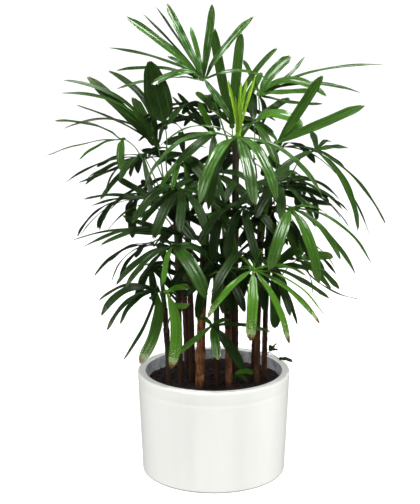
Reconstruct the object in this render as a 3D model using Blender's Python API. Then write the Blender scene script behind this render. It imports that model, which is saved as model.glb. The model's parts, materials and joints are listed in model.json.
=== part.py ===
# Potted lady palm: a clump of fibrous canes with fans of strap leaflets, rooted in soil in a white pot.
# Metres, +Z up. The origin is the centre of the pot's base, and the viewer stands towards -Y.
import itertools
import math
import random

import bpy
import numpy as np
from mathutils import Vector
from mathutils.bvhtree import BVHTree

# Pot: a straight-sided planter with a thick flat rim and a shallow groove under its band.
POT_HEIGHT = 0.245
RIM_RADIUS = 0.180
FOOT_RADIUS = 0.1695
MOUTH_RADIUS = 0.160
FLOOR_RADIUS = 0.152
FLOOR_THICKNESS = 0.020
RIM_BAND = 0.032
GROOVE_DEPTH = 0.0012
BAND_STEP = 0.0004
FLOOR_CHAMFER = 0.008
FOOT_ROUNDING = 0.006
RIM_ROUNDING = 0.004
POT_SIDES = 48

# Soil: a low uneven bed that fills the pot up to a finger's breadth under the rim.
SOIL_TOP = 0.218
SOIL_SWELL = 0.0022
BROAD_WAVE = (41.0, 37.0, 0.6)
NARROW_WAVE = (23.0, 75.0, 0.6)
CROSS_WAVE = (96.0, -31.0, 0.4)
SOIL_RINGS = (0.30, 0.55, 0.80, 1.0)
HOLE_DEPTH = 0.045
CUT_ABOVE = 0.05
GAP = 0.0003

# Canes: foot (x, y), sideways lean of the top (x, y), height of the top and radius at the soil.
CANES = {
    "cane_front_left": dict(foot=(-0.032, -0.067), lean=(0.014, 0.020), top=0.600, radius=0.0105),
    "cane_front_right": dict(foot=(0.035, -0.067), lean=(-0.012, 0.020), top=0.620, radius=0.0078),
    "cane_right_inner": dict(foot=(0.101, -0.038), lean=(0.006, 0.020), top=0.660, radius=0.0066),
    "cane_right_outer": dict(foot=(0.119, -0.009), lean=(0.012, 0.004), top=0.760, radius=0.0062),
    "cane_left_outer": dict(foot=(-0.105, -0.045), lean=(-0.016, -0.010), top=0.500, radius=0.0062),
    "cane_left_inner": dict(foot=(-0.079, -0.034), lean=(-0.012, 0.030), top=0.720, radius=0.0064),
    "cane_thin": dict(foot=(0.007, -0.045), lean=(-0.004, 0.016), top=0.540, radius=0.0050),
    "cane_left_middle": dict(foot=(-0.051, -0.016), lean=(-0.014, 0.022), top=0.680, radius=0.0072),
    "cane_tall": dict(foot=(0.050, 0.028), lean=(0.000, -0.012), top=0.800, radius=0.0082),
    "cane_back_middle": dict(foot=(0.008, 0.082), lean=(-0.012, 0.028), top=0.740, radius=0.0072),
    "cane_back_left": dict(foot=(-0.064, 0.078), lean=(-0.030, 0.030), top=0.660, radius=0.0072),
    "cane_back_right": dict(foot=(0.098, 0.074), lean=(0.030, 0.028), top=0.700, radius=0.0072),
}
CANE_SIDES = 6
CANE_JOINT = 0.055
CANE_FLARE = 0.13
CANE_TAPER = 0.32
CANE_FOOT = 0.012
CANE_CURVE = 1.6
SHADE_ANGLE = math.radians(40)

# Leaf stalks and leaflets.
STALK_SIZE = 0.0036
STALK_STEPS = 5
STALK_FOOT = 0.004
STALK_LEADS = (0.25, 0.20, 0.22)
SEAT_REACH = 0.1
HUB_RADIUS = 0.0060
HUB_CROWD = 9
HUB_RISE = 0.0012
HUB_DROP = 0.0030
BLADE_STATIONS = (0.0, 0.22, 0.50, 0.84, 1.0)
BLADE_WIDTHS = (0.0, 0.74, 0.97, 0.88, 0.30)
ROOT_WIDTH = 0.0018
ROOT_SPACING = 0.0023
RING_PASSES = 60
RING_START = np.array([0.9, 0.1, 0.2])
BLADE_DEPTHS = (0.0022, 0.0020, 0.0017, 0.0014, 0.0009)
KEEL_SHARE = 0.65
ARCH_PLACE = 0.45
CLEARANCE = 0.0016
OWN_CLEARANCE = 0.0002
TRIMS = (1.0, 0.85, 0.7)
BEND_STEP = 0.016
RISE_STEP = 0.010
DROP_STEP = 0.007
SAG_STEP = 0.015
BEND_LIMITS = (6, 2, 2)
BEND_COSTS = (0.5, 2.0, 4.0)
STALK_LIMITS = (3, 2)
HUB_STEPS = (0.0, -0.012, 0.012, -0.024, 0.024, -0.036, 0.036)
MOST_MISSING = 1

# The viewing point that the front view's leaf places are read from, in a 420 x 504 picture frame.
EYE = (-0.009, -2.70, 1.12)
EYE_PITCH = math.radians(12.4)
EYE_FOCAL = 1192.0
PICTURE_CENTRE = (210.0, 252.0)

# Fronds seen from the front. hub and the first two numbers of each leaflet are places in the picture
# frame; depth is the hub's distance behind the pot's axis. The others are the leaflet's reach out of
# the picture plane (-1 fully to the viewer, 1 fully away), its width, the rise of its arch and, where
# the arch doesn't rise along the frond's facing, the direction of the rise.
RISING = (0.0, 0.0, 1.0)
SAGGING = (0.0, 0.0, -1.0)
RIGHTWARD = (1.0, 0.0, 0.0)
FRONDS = {
    "frond_crown": dict(
        hub=(203, 79), depth=0.00, cane="cane_tall", joint=0.775,
        facing=(0.0, -0.75, 0.66), length=0.215,
        leaflets=[
            (126, 17, -0.3, 0.019, 0.010), (166, 4, 0.2, 0.018, 0.008), (190, 27, 0.9, 0.012, 0.006),
            (213, 4, -0.2, 0.018, 0.006), (253, 16, -0.3, 0.017, 0.008), (151, 85, -0.7, 0.017, 0.026),
            (116, 71, 0.4, 0.009, 0.024), (109, 48, 0.5, 0.008, 0.012), (156, 7, 0.6, 0.006, 0.006),
            (143, 14, 0.7, 0.006, 0.006), (270, 82, 0.5, 0.011, 0.034), (168, 56, 0.9, 0.012, 0.004),
            (230, 117, 0.1, 0.018, 0.004), (117, 89, -0.2, 0.008, 0.012, RISING),
        ],
    ),
    "frond_upright": dict(
        hub=(232, 126), depth=0.07, cane="cane_tall", joint=0.700,
        facing=(0.0, -0.97, 0.25), length=0.215,
        leaflets=[
            (213, 28, 0.0, 0.023, 0.004), (241, 32, 0.2, 0.024, 0.004), (262, 72, 0.8, 0.018, 0.010),
            (196, 92, 0.9, 0.016, 0.012), (278, 47, 0.1, 0.013, 0.030, RISING),
        ],
    ),
    "frond_young": dict(
        hub=(238, 135), depth=-0.03, cane="cane_tall", joint=0.740,
        facing=(0.0, -0.95, 0.30), length=0.132,
        leaflets=[
            (228, 80, 0.0, 0.008, 0.002), (241, 82, 0.3, 0.008, 0.002), (247, 80, -0.2, 0.008, 0.002),
            (255, 76, 0.2, 0.008, 0.003), (235, 96, -0.4, 0.006, 0.002),
        ],
    ),
    "frond_centre": dict(
        hub=(237, 137), depth=-0.14, cane="cane_tall", joint=0.640,
        facing=(0.0, -0.30, 0.95), length=0.205,
        leaflets=[
            (145, 186, -0.2, 0.021, 0.055), (199, 203, -0.8, 0.028, 0.036), (254, 206, -0.8, 0.027, 0.036),
            (277, 201, -0.7, 0.027, 0.031), (322, 196, 0.1, 0.018, 0.037), (226, 199, 0.5, 0.020, 0.030),
            (159, 147, 0.3, 0.008, 0.036), (209, 210, -0.1, 0.019, 0.026),
        ],
    ),
    "leaf_broad": dict(
        hub=(165, 127), depth=-0.03, cane="cane_left_inner", joint=0.690,
        facing=(0.25, -0.95, 0.20), length=0.150,
        widths=(0.0, 0.86, 0.98, 0.60, 0.14),
        leaflets=[
            (149, 61, 0.1, 0.064, -0.004),
        ],
    ),
    "frond_left_high": dict(
        hub=(157, 145), depth=0.04, cane="cane_left_inner", joint=0.640,
        facing=(0.15, -0.80, 0.58), length=0.230,
        leaflets=[
            (87, 76, -0.1, 0.028, 0.006), (63, 80, 0.3, 0.011, 0.038, RISING),
            (61, 93, -0.8, 0.008, 0.040, RISING), (133, 97, 0.7, 0.023, 0.004),
            (76, 102, 0.5, 0.006, 0.018, RISING), (63, 129, -0.6, 0.006, 0.042, RISING),
            (108, 71, 0.5, 0.018, 0.037, RISING), (184, 134, 0.4, 0.013, 0.042, RISING),
        ],
    ),
    "frond_left_arch": dict(
        hub=(123, 139), depth=-0.03, cane="cane_left_inner", joint=0.610,
        facing=(-0.20, -0.35, 0.92), length=0.165,
        leaflets=[
            (55, 121, 0.0, 0.011, 0.014), (79, 160, -0.3, 0.012, 0.012), (46, 156, 0.0, 0.006, 0.010),
            (122, 171, -0.3, 0.020, 0.012),
        ],
    ),
    "frond_left_mid": dict(
        hub=(143, 157), depth=0.01, cane="cane_left_middle", joint=0.600,
        facing=(-0.15, -0.50, 0.85), length=0.195,
        leaflets=[
            (65, 183, 0.1, 0.007, 0.021), (79, 183, -0.3, 0.012, -0.002), (88, 178, 0.3, 0.007, 0.012),
            (100, 200, -0.4, 0.015, 0.012), (119, 181, -0.8, 0.016, 0.016), (131, 177, 0.6, 0.014, 0.012),
            (172, 150, 0.7, 0.020, 0.012), (155, 204, -0.8, 0.014, 0.014),
        ],
    ),
    "frond_left_dark": dict(
        hub=(162, 205), depth=-0.07, cane="cane_left_middle", joint=0.560,
        facing=(-0.20, -0.50, 0.84), length=0.190,
        leaflets=[
            (84, 199, 0.1, 0.011, 0.021), (91, 206, -0.2, 0.007, 0.020), (116, 178, 0.5, 0.018, 0.006),
            (111, 209, 0.0, 0.008, 0.030, RISING), (132, 217, -0.6, 0.015, 0.010, RISING),
            (107, 232, -0.2, 0.005, 0.024, RISING), (195, 241, -0.5, 0.027, 0.014),
            (204, 227, 0.2, 0.022, 0.010), (141, 180, 0.7, 0.016, 0.006), (140, 219, -0.2, 0.010, 0.006),
        ],
    ),
    "frond_left_strap": dict(
        hub=(182, 234), depth=-0.11, cane="cane_front_left", joint=0.500,
        facing=(-0.20, -0.55, 0.80), length=0.225,
        leaflets=[
            (84, 247, 0.0, 0.012, 0.034), (100, 246, -0.3, 0.014, 0.032), (128, 232, 0.5, 0.028, 0.004),
            (73, 240, 0.2, 0.006, 0.027), (122, 216, 0.8, 0.015, -0.004), (206, 250, 0.6, 0.026, 0.012),
        ],
    ),
    "frond_left_low": dict(
        hub=(172, 246), depth=-0.17, cane="cane_front_left", joint=0.450,
        facing=(-0.15, -0.45, 0.88), length=0.180,
        leaflets=[
            (116, 285, -0.1, 0.019, 0.019), (126, 288, -0.5, 0.017, 0.018), (141, 279, 0.5, 0.022, 0.006),
            (163, 286, -0.9, 0.013, 0.008), (152, 246, 0.9, 0.015, 0.016), (207, 298, -0.6, 0.032, 0.030),
            (184, 282, 0.5, 0.022, 0.014), (214, 268, 0.3, 0.030, 0.022),
        ],
    ),
    "frond_left_foot": dict(
        hub=(157, 290), depth=-0.13, cane="cane_left_outer", joint=0.400,
        facing=(-0.20, -0.72, 0.66), length=0.160,
        leaflets=[
            (101, 316, -0.1, 0.019, 0.028, RISING), (99, 301, 0.3, 0.008, 0.022, RISING),
            (107, 331, -0.4, 0.012, 0.022, RISING), (120, 324, 0.5, 0.014, 0.014, RISING),
            (139, 364, -0.4, 0.028, 0.018, RIGHTWARD), (123, 360, 0.3, 0.009, 0.010, RIGHTWARD),
            (133, 300, 0.8, 0.016, 0.006),
        ],
    ),
    "frond_front_bright": dict(
        hub=(166, 292), depth=-0.20, cane="cane_left_outer", joint=0.350,
        facing=(0.30, -0.60, 0.74), length=0.150,
        leaflets=[
            (170, 369, -0.5, 0.028, 0.018, RIGHTWARD), (190, 304, 0.2, 0.016, 0.018, SAGGING),
            (190, 287, 0.4, 0.016, 0.006), (184, 322, 0.6, 0.018, 0.010), (150, 300, 0.7, 0.014, 0.006),
        ],
    ),
    "frond_front_low": dict(
        hub=(212, 326), depth=-0.13, cane="cane_thin", joint=0.330,
        facing=(0.10, -0.60, 0.80), length=0.120,
        leaflets=[
            (217, 360, -0.6, 0.022, 0.004), (243, 370, -0.2, 0.026, 0.012), (176, 355, 0.0, 0.015, 0.004),
            (198, 320, 0.7, 0.014, 0.010), (271, 332, 0.3, 0.012, 0.012), (229, 320, 0.8, 0.013, 0.008),
        ],
    ),
    "frond_right_low": dict(
        hub=(253, 270), depth=-0.21, cane="cane_front_right", joint=0.440,
        facing=(0.05, -0.35, 0.93), length=0.175,
        leaflets=[
            (207, 318, -0.4, 0.021, 0.016), (250, 342, -0.5, 0.028, 0.018), (289, 344, -0.3, 0.020, 0.020),
            (320, 324, 0.0, 0.018, 0.020), (324, 315, 0.4, 0.007, 0.020), (306, 276, 0.7, 0.016, 0.016),
            (209, 276, 0.6, 0.013, 0.008), (262, 250, 0.9, 0.016, 0.014), (228, 262, 0.8, 0.014, 0.010),
        ],
    ),
    "frond_right_mid": dict(
        hub=(291, 208), depth=-0.15, cane="cane_right_inner", joint=0.560,
        facing=(0.15, -0.45, 0.88), length=0.190,
        leaflets=[
            (270, 271, -0.5, 0.028, 0.024), (318, 284, -0.2, 0.028, 0.024), (340, 260, -0.1, 0.017, 0.024),
            (355, 274, 0.1, 0.014, 0.032), (371, 262, 0.2, 0.010, 0.036),
            (328, 216, 0.6, 0.010, 0.014),
        ],
    ),
    "frond_right_high": dict(
        hub=(316, 151), depth=-0.05, cane="cane_right_outer", joint=0.620,
        facing=(0.25, -0.35, 0.90), length=0.200,
        leaflets=[
            (358, 231, -0.2, 0.027, 0.028), (370, 237, 0.2, 0.006, 0.028), (385, 224, 0.0, 0.012, 0.024),
            (348, 148, 0.7, 0.018, 0.006), (283, 147, 0.6, 0.020, 0.004), (311, 132, 0.9, 0.018, 0.008),
            (270, 180, -0.3, 0.018, 0.014), (330, 142, 0.9, 0.012, 0.012),
        ],
    ),
    "frond_right_strap": dict(
        hub=(277, 143), depth=0.01, cane="cane_right_outer", joint=0.640,
        facing=(0.20, -0.85, 0.48), length=0.205,
        leaflets=[
            (322, 75, 0.0, 0.023, 0.001), (365, 105, 0.0, 0.023, 0.007), (301, 125, 0.9, 0.016, 0.010),
            (252, 122, 0.8, 0.016, 0.012), (262, 176, 0.6, 0.020, 0.012),
        ],
    ),
    "frond_back_high": dict(
        hub=(259, 94), depth=0.09, cane="cane_back_right", joint=0.690,
        facing=(0.10, -0.80, 0.60), length=0.190,
        leaflets=[
            (291, 56, 0.3, 0.024, 0.008, RISING), (305, 57, 0.6, 0.009, 0.010, SAGGING),
            (326, 97, -0.1, 0.021, 0.036, RISING), (319, 91, -0.5, 0.014, 0.004),
            (323, 104, -0.3, 0.009, 0.008, SAGGING), (360, 93, 0.2, 0.010, 0.025, RISING),
            (383, 65, -0.4, 0.007, 0.013, RISING), (243, 60, 0.6, 0.012, 0.006),
            (254, 131, 0.4, 0.022, 0.010),
        ],
    ),
    "frond_back_fan": dict(
        hub=(254, 122), depth=0.06, cane="cane_back_right", joint=0.630,
        facing=(0.05, -0.70, 0.71), length=0.150,
        leaflets=[
            (303, 128, -0.2, 0.030, 0.024, RISING), (290, 98, 0.3, 0.020, 0.004),
            (252, 92, 0.6, 0.024, 0.004), (278, 166, -0.4, 0.020, 0.016), (232, 150, -0.3, 0.020, 0.016), (222, 112, 0.5, 0.016, 0.010),
        ],
    ),
    "frond_core_high": dict(
        hub=(214, 134), depth=0.03, cane="cane_tall", joint=0.660,
        facing=(-0.10, -0.88, 0.46), length=0.150,
        leaflets=[
            (177, 93, 0.1, 0.012, 0.002), (172, 97, 0.6, 0.008, 0.002), (198, 102, -0.3, 0.015, 0.001),
            (173, 113, 0.4, 0.006, 0.014, RISING), (203, 120, 0.9, 0.014, 0.006),
            (164, 144, 0.3, 0.020, 0.016), (177, 164, -0.4, 0.022, 0.018), (214, 186, -0.3, 0.020, 0.018),
        ],
    ),
    "frond_core_left": dict(
        hub=(184, 155), depth=0.04, cane="cane_left_middle", joint=0.620,
        facing=(-0.10, -0.60, 0.79), length=0.150,
        leaflets=[
            (141, 150, 0.3, 0.022, 0.008), (207, 182, -0.5, 0.030, 0.010), (160, 188, -0.5, 0.013, 0.016),
            (172, 192, -0.4, 0.014, 0.014), (190, 197, -0.3, 0.014, 0.012), (206, 148, 0.7, 0.018, 0.010),
            (181, 132, 0.9, 0.016, 0.006), (150, 172, 0.6, 0.018, 0.014),
        ],
    ),
    "frond_right_dark": dict(
        hub=(270, 190), depth=-0.03, cane="cane_right_outer", joint=0.540,
        facing=(0.20, -0.45, 0.87), length=0.145,
        leaflets=[
            (329, 197, 0.1, 0.024, 0.012), (332, 206, -0.2, 0.020, 0.010), (319, 216, -0.4, 0.020, 0.018),
            (308, 189, 0.6, 0.028, 0.010), (284, 214, -0.8, 0.016, 0.002), (251, 183, 0.5, 0.018, 0.008),
            (260, 232, -0.5, 0.012, 0.006), (290, 166, 0.6, 0.014, 0.004),
        ],
    ),
    "frond_right_foot": dict(
        hub=(298, 260), depth=0.00, cane="cane_right_outer", joint=0.430,
        facing=(0.25, -0.45, 0.86), length=0.150,
        leaflets=[
            (339, 290, -0.1, 0.018, 0.014), (333, 256, 0.3, 0.030, 0.004), (331, 290, 0.3, 0.024, 0.006),
            (362, 297, -0.2, 0.006, -0.006), (288, 231, 0.3, 0.028, 0.006), (307, 233, 0.6, 0.022, 0.006),
            (312, 293, 0.6, 0.018, 0.010), (276, 256, 0.3, 0.022, 0.008),
        ],
    ),
    "frond_centre_dark": dict(
        hub=(221, 211), depth=-0.10, cane="cane_front_left", joint=0.540,
        facing=(0.0, -0.55, 0.83), length=0.150,
        leaflets=[
            (252, 202, 0.4, 0.017, 0.008), (236, 263, -0.4, 0.020, 0.020), (204, 226, 0.1, 0.007, 0.010),
            (212, 262, -0.3, 0.024, 0.016), (250, 226, 0.2, 0.016, 0.010), (190, 196, 0.6, 0.020, 0.012),
            (206, 178, 0.8, 0.020, 0.008), (236, 180, 0.7, 0.018, 0.008),
        ],
    ),
    "frond_core_low": dict(
        hub=(226, 268), depth=-0.09, cane="cane_front_right", joint=0.400,
        facing=(0.05, -0.45, 0.87), length=0.145,
        leaflets=[
            (186, 296, 0.0, 0.022, 0.018), (214, 312, -0.4, 0.022, 0.018), (232, 314, -0.3, 0.021, 0.012),
            (257, 286, 0.2, 0.019, 0.012), (200, 246, 0.7, 0.022, 0.012), (222, 238, 0.8, 0.026, 0.008),
            (264, 254, 0.6, 0.018, 0.006),
        ],
    ),
    "frond_right_core": dict(
        hub=(274, 268), depth=-0.04, cane="cane_right_inner", joint=0.420,
        facing=(0.10, -0.50, 0.86), length=0.150,
        leaflets=[
            (275, 329, -0.3, 0.026, 0.006), (297, 325, 0.3, 0.009, 0.012), (329, 299, -0.1, 0.015, 0.010),
            (291, 316, -0.5, 0.015, 0.004), (309, 270, 0.5, 0.020, 0.010), (300, 246, 0.7, 0.024, 0.006),
            (269, 236, 0.6, 0.022, 0.006), (244, 286, 0.3, 0.018, 0.010), (250, 254, 0.5, 0.018, 0.006),
        ],
    ),
    "frond_left_core": dict(
        hub=(150, 266), depth=-0.05, cane="cane_left_inner", joint=0.440,
        facing=(-0.10, -0.50, 0.86), length=0.130,
        leaflets=[
            (137, 302, -0.5, 0.020, 0.010), (156, 306, -0.3, 0.018, 0.012), (178, 296, 0.1, 0.020, 0.014),
            (185, 268, 0.4, 0.022, 0.010), (140, 272, 0.8, 0.018, 0.008), (196, 286, -0.1, 0.016, 0.012),
        ],
    ),
}

# Fronds that a rule places: they fill the back and the heart of the clump, all round.
FILL_SEED = 11
FILL_LEAFLETS = 8
FILL_SPREAD = math.radians(112)
FILL_WIDTHS = (0.018, 0.025)
FILL_RISES = (0.016, 0.030)
FILL_STRAY = 0.20
FILL_STRAY_GROWTH = 0.25
FILL_TRIES = 10
FILL_TILT = 0.45
FAN_STRAY = 0.08
HANG_RANGE = (0.6, 1.3)
LENGTH_RANGE = (0.9, 1.05)
OUTER_SHORTER = 0.20
# Each row: cane, height of the stalk on it, heading in degrees from +X, the hub's distance from the
# cane and its climb above the stalk's foot, the longest leaflet, and how much the leaflets hang.
FILL_FRONDS = (
    ("cane_back_left", 0.640, 122, 0.130, 0.070, 0.205, 0.35),
    ("cane_back_left", 0.560, 158, 0.105, 0.060, 0.185, 0.50),
    ("cane_back_left", 0.450, 135, 0.110, 0.050, 0.180, 0.60),
    ("cane_back_left", 0.600, 80, 0.130, 0.060, 0.200, 0.45),
    ("cane_back_middle", 0.720, 98, 0.120, 0.090, 0.210, 0.25),
    ("cane_back_middle", 0.640, 60, 0.130, 0.060, 0.205, 0.45),
    ("cane_back_middle", 0.520, 105, 0.140, 0.050, 0.195, 0.60),
    ("cane_back_right", 0.670, 70, 0.120, 0.070, 0.205, 0.35),
    ("cane_back_right", 0.580, 28, 0.090, 0.060, 0.180, 0.50),
    ("cane_back_right", 0.460, 65, 0.120, 0.050, 0.185, 0.60),
    ("cane_tall", 0.760, 115, 0.095, 0.080, 0.195, 0.15),
    ("cane_tall", 0.590, 305, 0.080, 0.045, 0.160, 0.80),
    ("cane_back_middle", 0.660, 262, 0.070, 0.050, 0.175, 0.55),
    ("cane_left_inner", 0.640, 285, 0.060, 0.040, 0.160, 0.75),
    ("cane_right_inner", 0.600, 238, 0.070, 0.045, 0.160, 0.80),
    ("cane_front_right", 0.500, 300, 0.070, 0.040, 0.150, 0.90),
    ("cane_thin", 0.480, 275, 0.060, 0.035, 0.150, 0.90),
    ("cane_tall", 0.640, 335, 0.085, 0.050, 0.165, 0.50),
)

# Colours: base colour, roughness.
COLOURS = {
    "pot": ((0.86, 0.87, 0.85), 0.35),
    "soil": ((0.030, 0.022, 0.024), 0.95),
    "cane": ((0.22, 0.10, 0.045), 0.80),
    "leaf": ((0.045, 0.17, 0.035), 0.38),
    "young_leaf": ((0.22, 0.42, 0.05), 0.40),
}


def clear_scene():
    for thing in list(bpy.data.objects):
        bpy.data.objects.remove(thing, do_unlink=True)


def material(name):
    found = bpy.data.materials.get(name)
    if found:
        return found
    colour, roughness = COLOURS[name]
    made = bpy.data.materials.new(name)
    made.use_nodes = True
    shader = made.node_tree.nodes["Principled BSDF"]
    shader.inputs["Base Color"].default_value = (*colour, 1.0)
    shader.inputs["Roughness"].default_value = roughness
    made.diffuse_color = (*colour, 1.0)
    return made


def place(name, points, faces, colour, smooth=False):
    mesh = bpy.data.meshes.new(name)
    mesh.from_pydata([tuple(p) for p in points], [], [tuple(f) for f in faces])
    mesh.validate()
    if smooth:
        mesh.shade_smooth()
        mesh.set_sharp_from_angle(angle=SHADE_ANGLE)
    mesh.materials.append(material(colour))
    thing = bpy.data.objects.new(name, mesh)
    bpy.context.scene.collection.objects.link(thing)
    return thing


def unit(vector):
    return vector / np.linalg.norm(vector)


def rows_unit(rows):
    return rows / np.linalg.norm(rows, axis=1)[:, None]


# A solid turned about Z: outline points (radius, height) run from the lower pole round to the upper one.
def turned(outline, sides, heights=None):
    points = []
    faces = []
    rings = outline[1:-1]
    for ring, (radius, height) in enumerate(rings):
        for i in range(sides):
            angle = 2 * math.pi * i / sides
            x, y = radius * math.cos(angle), radius * math.sin(angle)
            points.append((x, y, heights(x, y, height) if heights else height))
    lower = len(points)
    points.append((0.0, 0.0, outline[0][1]))
    upper = len(points)
    top = outline[-1][1]
    points.append((0.0, 0.0, heights(0.0, 0.0, top) if heights else top))
    for i in range(sides):
        j = (i + 1) % sides
        faces.append((lower, j, i))
        for ring in range(len(rings) - 1):
            a, b = ring * sides, (ring + 1) * sides
            faces.append((a + i, a + j, b + j))
            faces.append((a + i, b + j, b + i))
        last = (len(rings) - 1) * sides
        faces.append((upper, last + i, last + j))
    return points, faces


# A quarter turn of a rounded corner, as points between two directions.
def corner(centre, radius, start, end, steps=3):
    angles = [math.radians(start + (end - start) * i / steps) for i in range(steps + 1)]
    return [(centre[0] + radius * math.cos(a), centre[1] + radius * math.sin(a)) for a in angles]


def wall_radius(height):
    share = (height - FLOOR_THICKNESS) / (POT_HEIGHT - FLOOR_THICKNESS)
    return FLOOR_RADIUS + (MOUTH_RADIUS - FLOOR_RADIUS) * share


def make_pot():
    band = POT_HEIGHT - RIM_BAND
    band_radius = FOOT_RADIUS + (RIM_RADIUS - FOOT_RADIUS) * band / POT_HEIGHT
    groove = 2 * GROOVE_DEPTH
    outline = [(0.0, 0.0)]
    outline += corner((FOOT_RADIUS - FOOT_ROUNDING, FOOT_ROUNDING), FOOT_ROUNDING, -90, 0)
    outline += [(band_radius, band - groove), (band_radius - GROOVE_DEPTH, band)]
    outline += [(band_radius + BAND_STEP, band + groove)]
    outline += corner((RIM_RADIUS - RIM_ROUNDING, POT_HEIGHT - RIM_ROUNDING), RIM_ROUNDING, 0, 90)
    inner = RIM_ROUNDING / 2
    outline += corner((MOUTH_RADIUS + inner, POT_HEIGHT - inner), inner, 90, 180, 2)
    outline += [(FLOOR_RADIUS, FLOOR_THICKNESS + FLOOR_CHAMFER)]
    outline += [(FLOOR_RADIUS - FLOOR_CHAMFER, FLOOR_THICKNESS)]
    outline += [(0.0, FLOOR_THICKNESS)]
    points, faces = turned(outline, POT_SIDES)
    return place("pot", points, faces, "pot", smooth=True)


# The bed rises and falls a few millimetres: a sum of three slow waves over the disc.
def soil_height(x, y, height):
    if height < SOIL_TOP:
        return height
    across, along, start = BROAD_WAVE
    broad = math.sin(across * x + start) * math.cos(along * y)
    across, along, share = NARROW_WAVE
    narrow = share * math.sin(across * x + along * y)
    across, along, share = CROSS_WAVE
    cross = share * math.cos(across * x + along * y)
    return height + SOIL_SWELL * (broad + narrow + cross)


def make_soil(holes):
    lowest = FLOOR_THICKNESS + GAP
    foot = FLOOR_RADIUS - FLOOR_CHAMFER - GAP
    outline = [(0.0, lowest), (foot, lowest)]
    outline += [(FLOOR_RADIUS - 2 * GAP, lowest + FLOOR_CHAMFER + GAP)]
    edge = wall_radius(SOIL_TOP) - 2 * GAP
    outline += [(edge * share, SOIL_TOP) for share in reversed(SOIL_RINGS)]
    outline += [(0.0, SOIL_TOP)]
    points, faces = turned(outline, POT_SIDES, soil_height)
    soil = place("soil", points, faces, "soil")
    join(soil, holes, "DIFFERENCE", "EXACT")
    return soil


# Applies one Boolean with all the helper meshes, and removes them.
def join(thing, helpers, operation, solver):
    group = bpy.data.collections.new(thing.name + "_helpers")
    bpy.context.scene.collection.children.link(group)
    for number, (points, faces) in enumerate(helpers):
        mesh = bpy.data.meshes.new(f"helper_{number}")
        mesh.from_pydata([tuple(p) for p in points], [], [tuple(f) for f in faces])
        group.objects.link(bpy.data.objects.new(f"helper_{number}", mesh))
    modifier = thing.modifiers.new("join", "BOOLEAN")
    modifier.operand_type = "COLLECTION"
    modifier.collection = group
    modifier.operation = operation
    modifier.solver = solver
    bpy.context.view_layer.update()
    graph = bpy.context.evaluated_depsgraph_get()
    joined = bpy.data.meshes.new_from_object(thing.evaluated_get(graph))
    thing.modifiers.clear()
    thing.data = joined
    for helper in list(group.objects):
        bpy.data.objects.remove(helper, do_unlink=True)
    bpy.data.collections.remove(group)


# The cane's middle line and radius at a height: straight in the soil, then leaning more and more, with
# a slight flare at every other leaf scar.
def cane_centre(cane, height):
    share = max(0.0, (height - SOIL_TOP) / (cane["top"] - SOIL_TOP)) ** CANE_CURVE
    x, y = np.array(cane["foot"]) + share * np.array(cane["lean"])
    return np.array([x, y, height])


def cane_heights(cane):
    above = cane["top"] - SOIL_TOP
    count = 2 * max(2, round(above / (2 * CANE_JOINT)))
    return [SOIL_TOP + above * i / count for i in range(count + 1)]


def cane_mesh(cane):
    heights = [SOIL_TOP - HOLE_DEPTH + GAP, SOIL_TOP + CANE_FOOT] + cane_heights(cane)[1:]
    rings = []
    for number, height in enumerate(heights):
        share = max(0.0, (height - SOIL_TOP) / (cane["top"] - SOIL_TOP))
        radius = cane["radius"] * (1 - CANE_TAPER * share)
        if number > 1:
            radius *= 1 + (CANE_FLARE if number % 2 else 0.0)
        rings.append(ring_points(cane_centre(cane, height), radius))
    return tube_from_rings(rings)


def ring_points(centre, radius):
    angles = 2 * math.pi * np.arange(CANE_SIDES) / CANE_SIDES
    return centre + radius * np.stack([np.cos(angles), np.sin(angles), 0 * angles], axis=1)


def tube_from_rings(rings):
    sides = len(rings[0])
    points = np.concatenate(rings)
    faces = [tuple(range(sides))[::-1]]
    for ring in range(len(rings) - 1):
        for i in range(sides):
            j = (i + 1) % sides
            a, b = ring * sides, (ring + 1) * sides
            faces.append((a + i, a + j, b + j))
            faces.append((a + i, b + j, b + i))
    last = (len(rings) - 1) * sides
    faces.append(tuple(last + i for i in range(sides)))
    return points, faces


def hole_mesh(cane):
    radius = cane["radius"] + GAP / math.cos(math.pi / CANE_SIDES)
    low, high = cane_centre(cane, SOIL_TOP - HOLE_DEPTH), cane_centre(cane, SOIL_TOP)
    high[2] += CUT_ABOVE
    return tube_from_rings([ring_points(centre, radius) for centre in (low, high)])


# The point at a depth on the line of sight through a place in the picture frame.
def sight(u, v, depth):
    right = (u - PICTURE_CENTRE[0]) / EYE_FOCAL
    up = (PICTURE_CENTRE[1] - v) / EYE_FOCAL
    along_y = math.cos(EYE_PITCH) + up * math.sin(EYE_PITCH)
    along_z = up * math.cos(EYE_PITCH) - math.sin(EYE_PITCH)
    steps = (depth - EYE[1]) / along_y
    return np.array([EYE[0] + right * steps, depth, EYE[2] + along_z * steps])


# The tip of a leaflet of a known length: it lies on its line of sight, nearer or further than the hub.
def seen_tip(hub, u, v, reach, length):
    near = sight(u, v, hub[1])
    line = unit(near - np.array(EYE))
    foot = near + line * np.dot(hub - near, line)
    spare = length**2 - np.dot(foot - hub, foot - hub)
    return foot + line * reach * math.sqrt(max(spare, 0.0))


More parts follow.
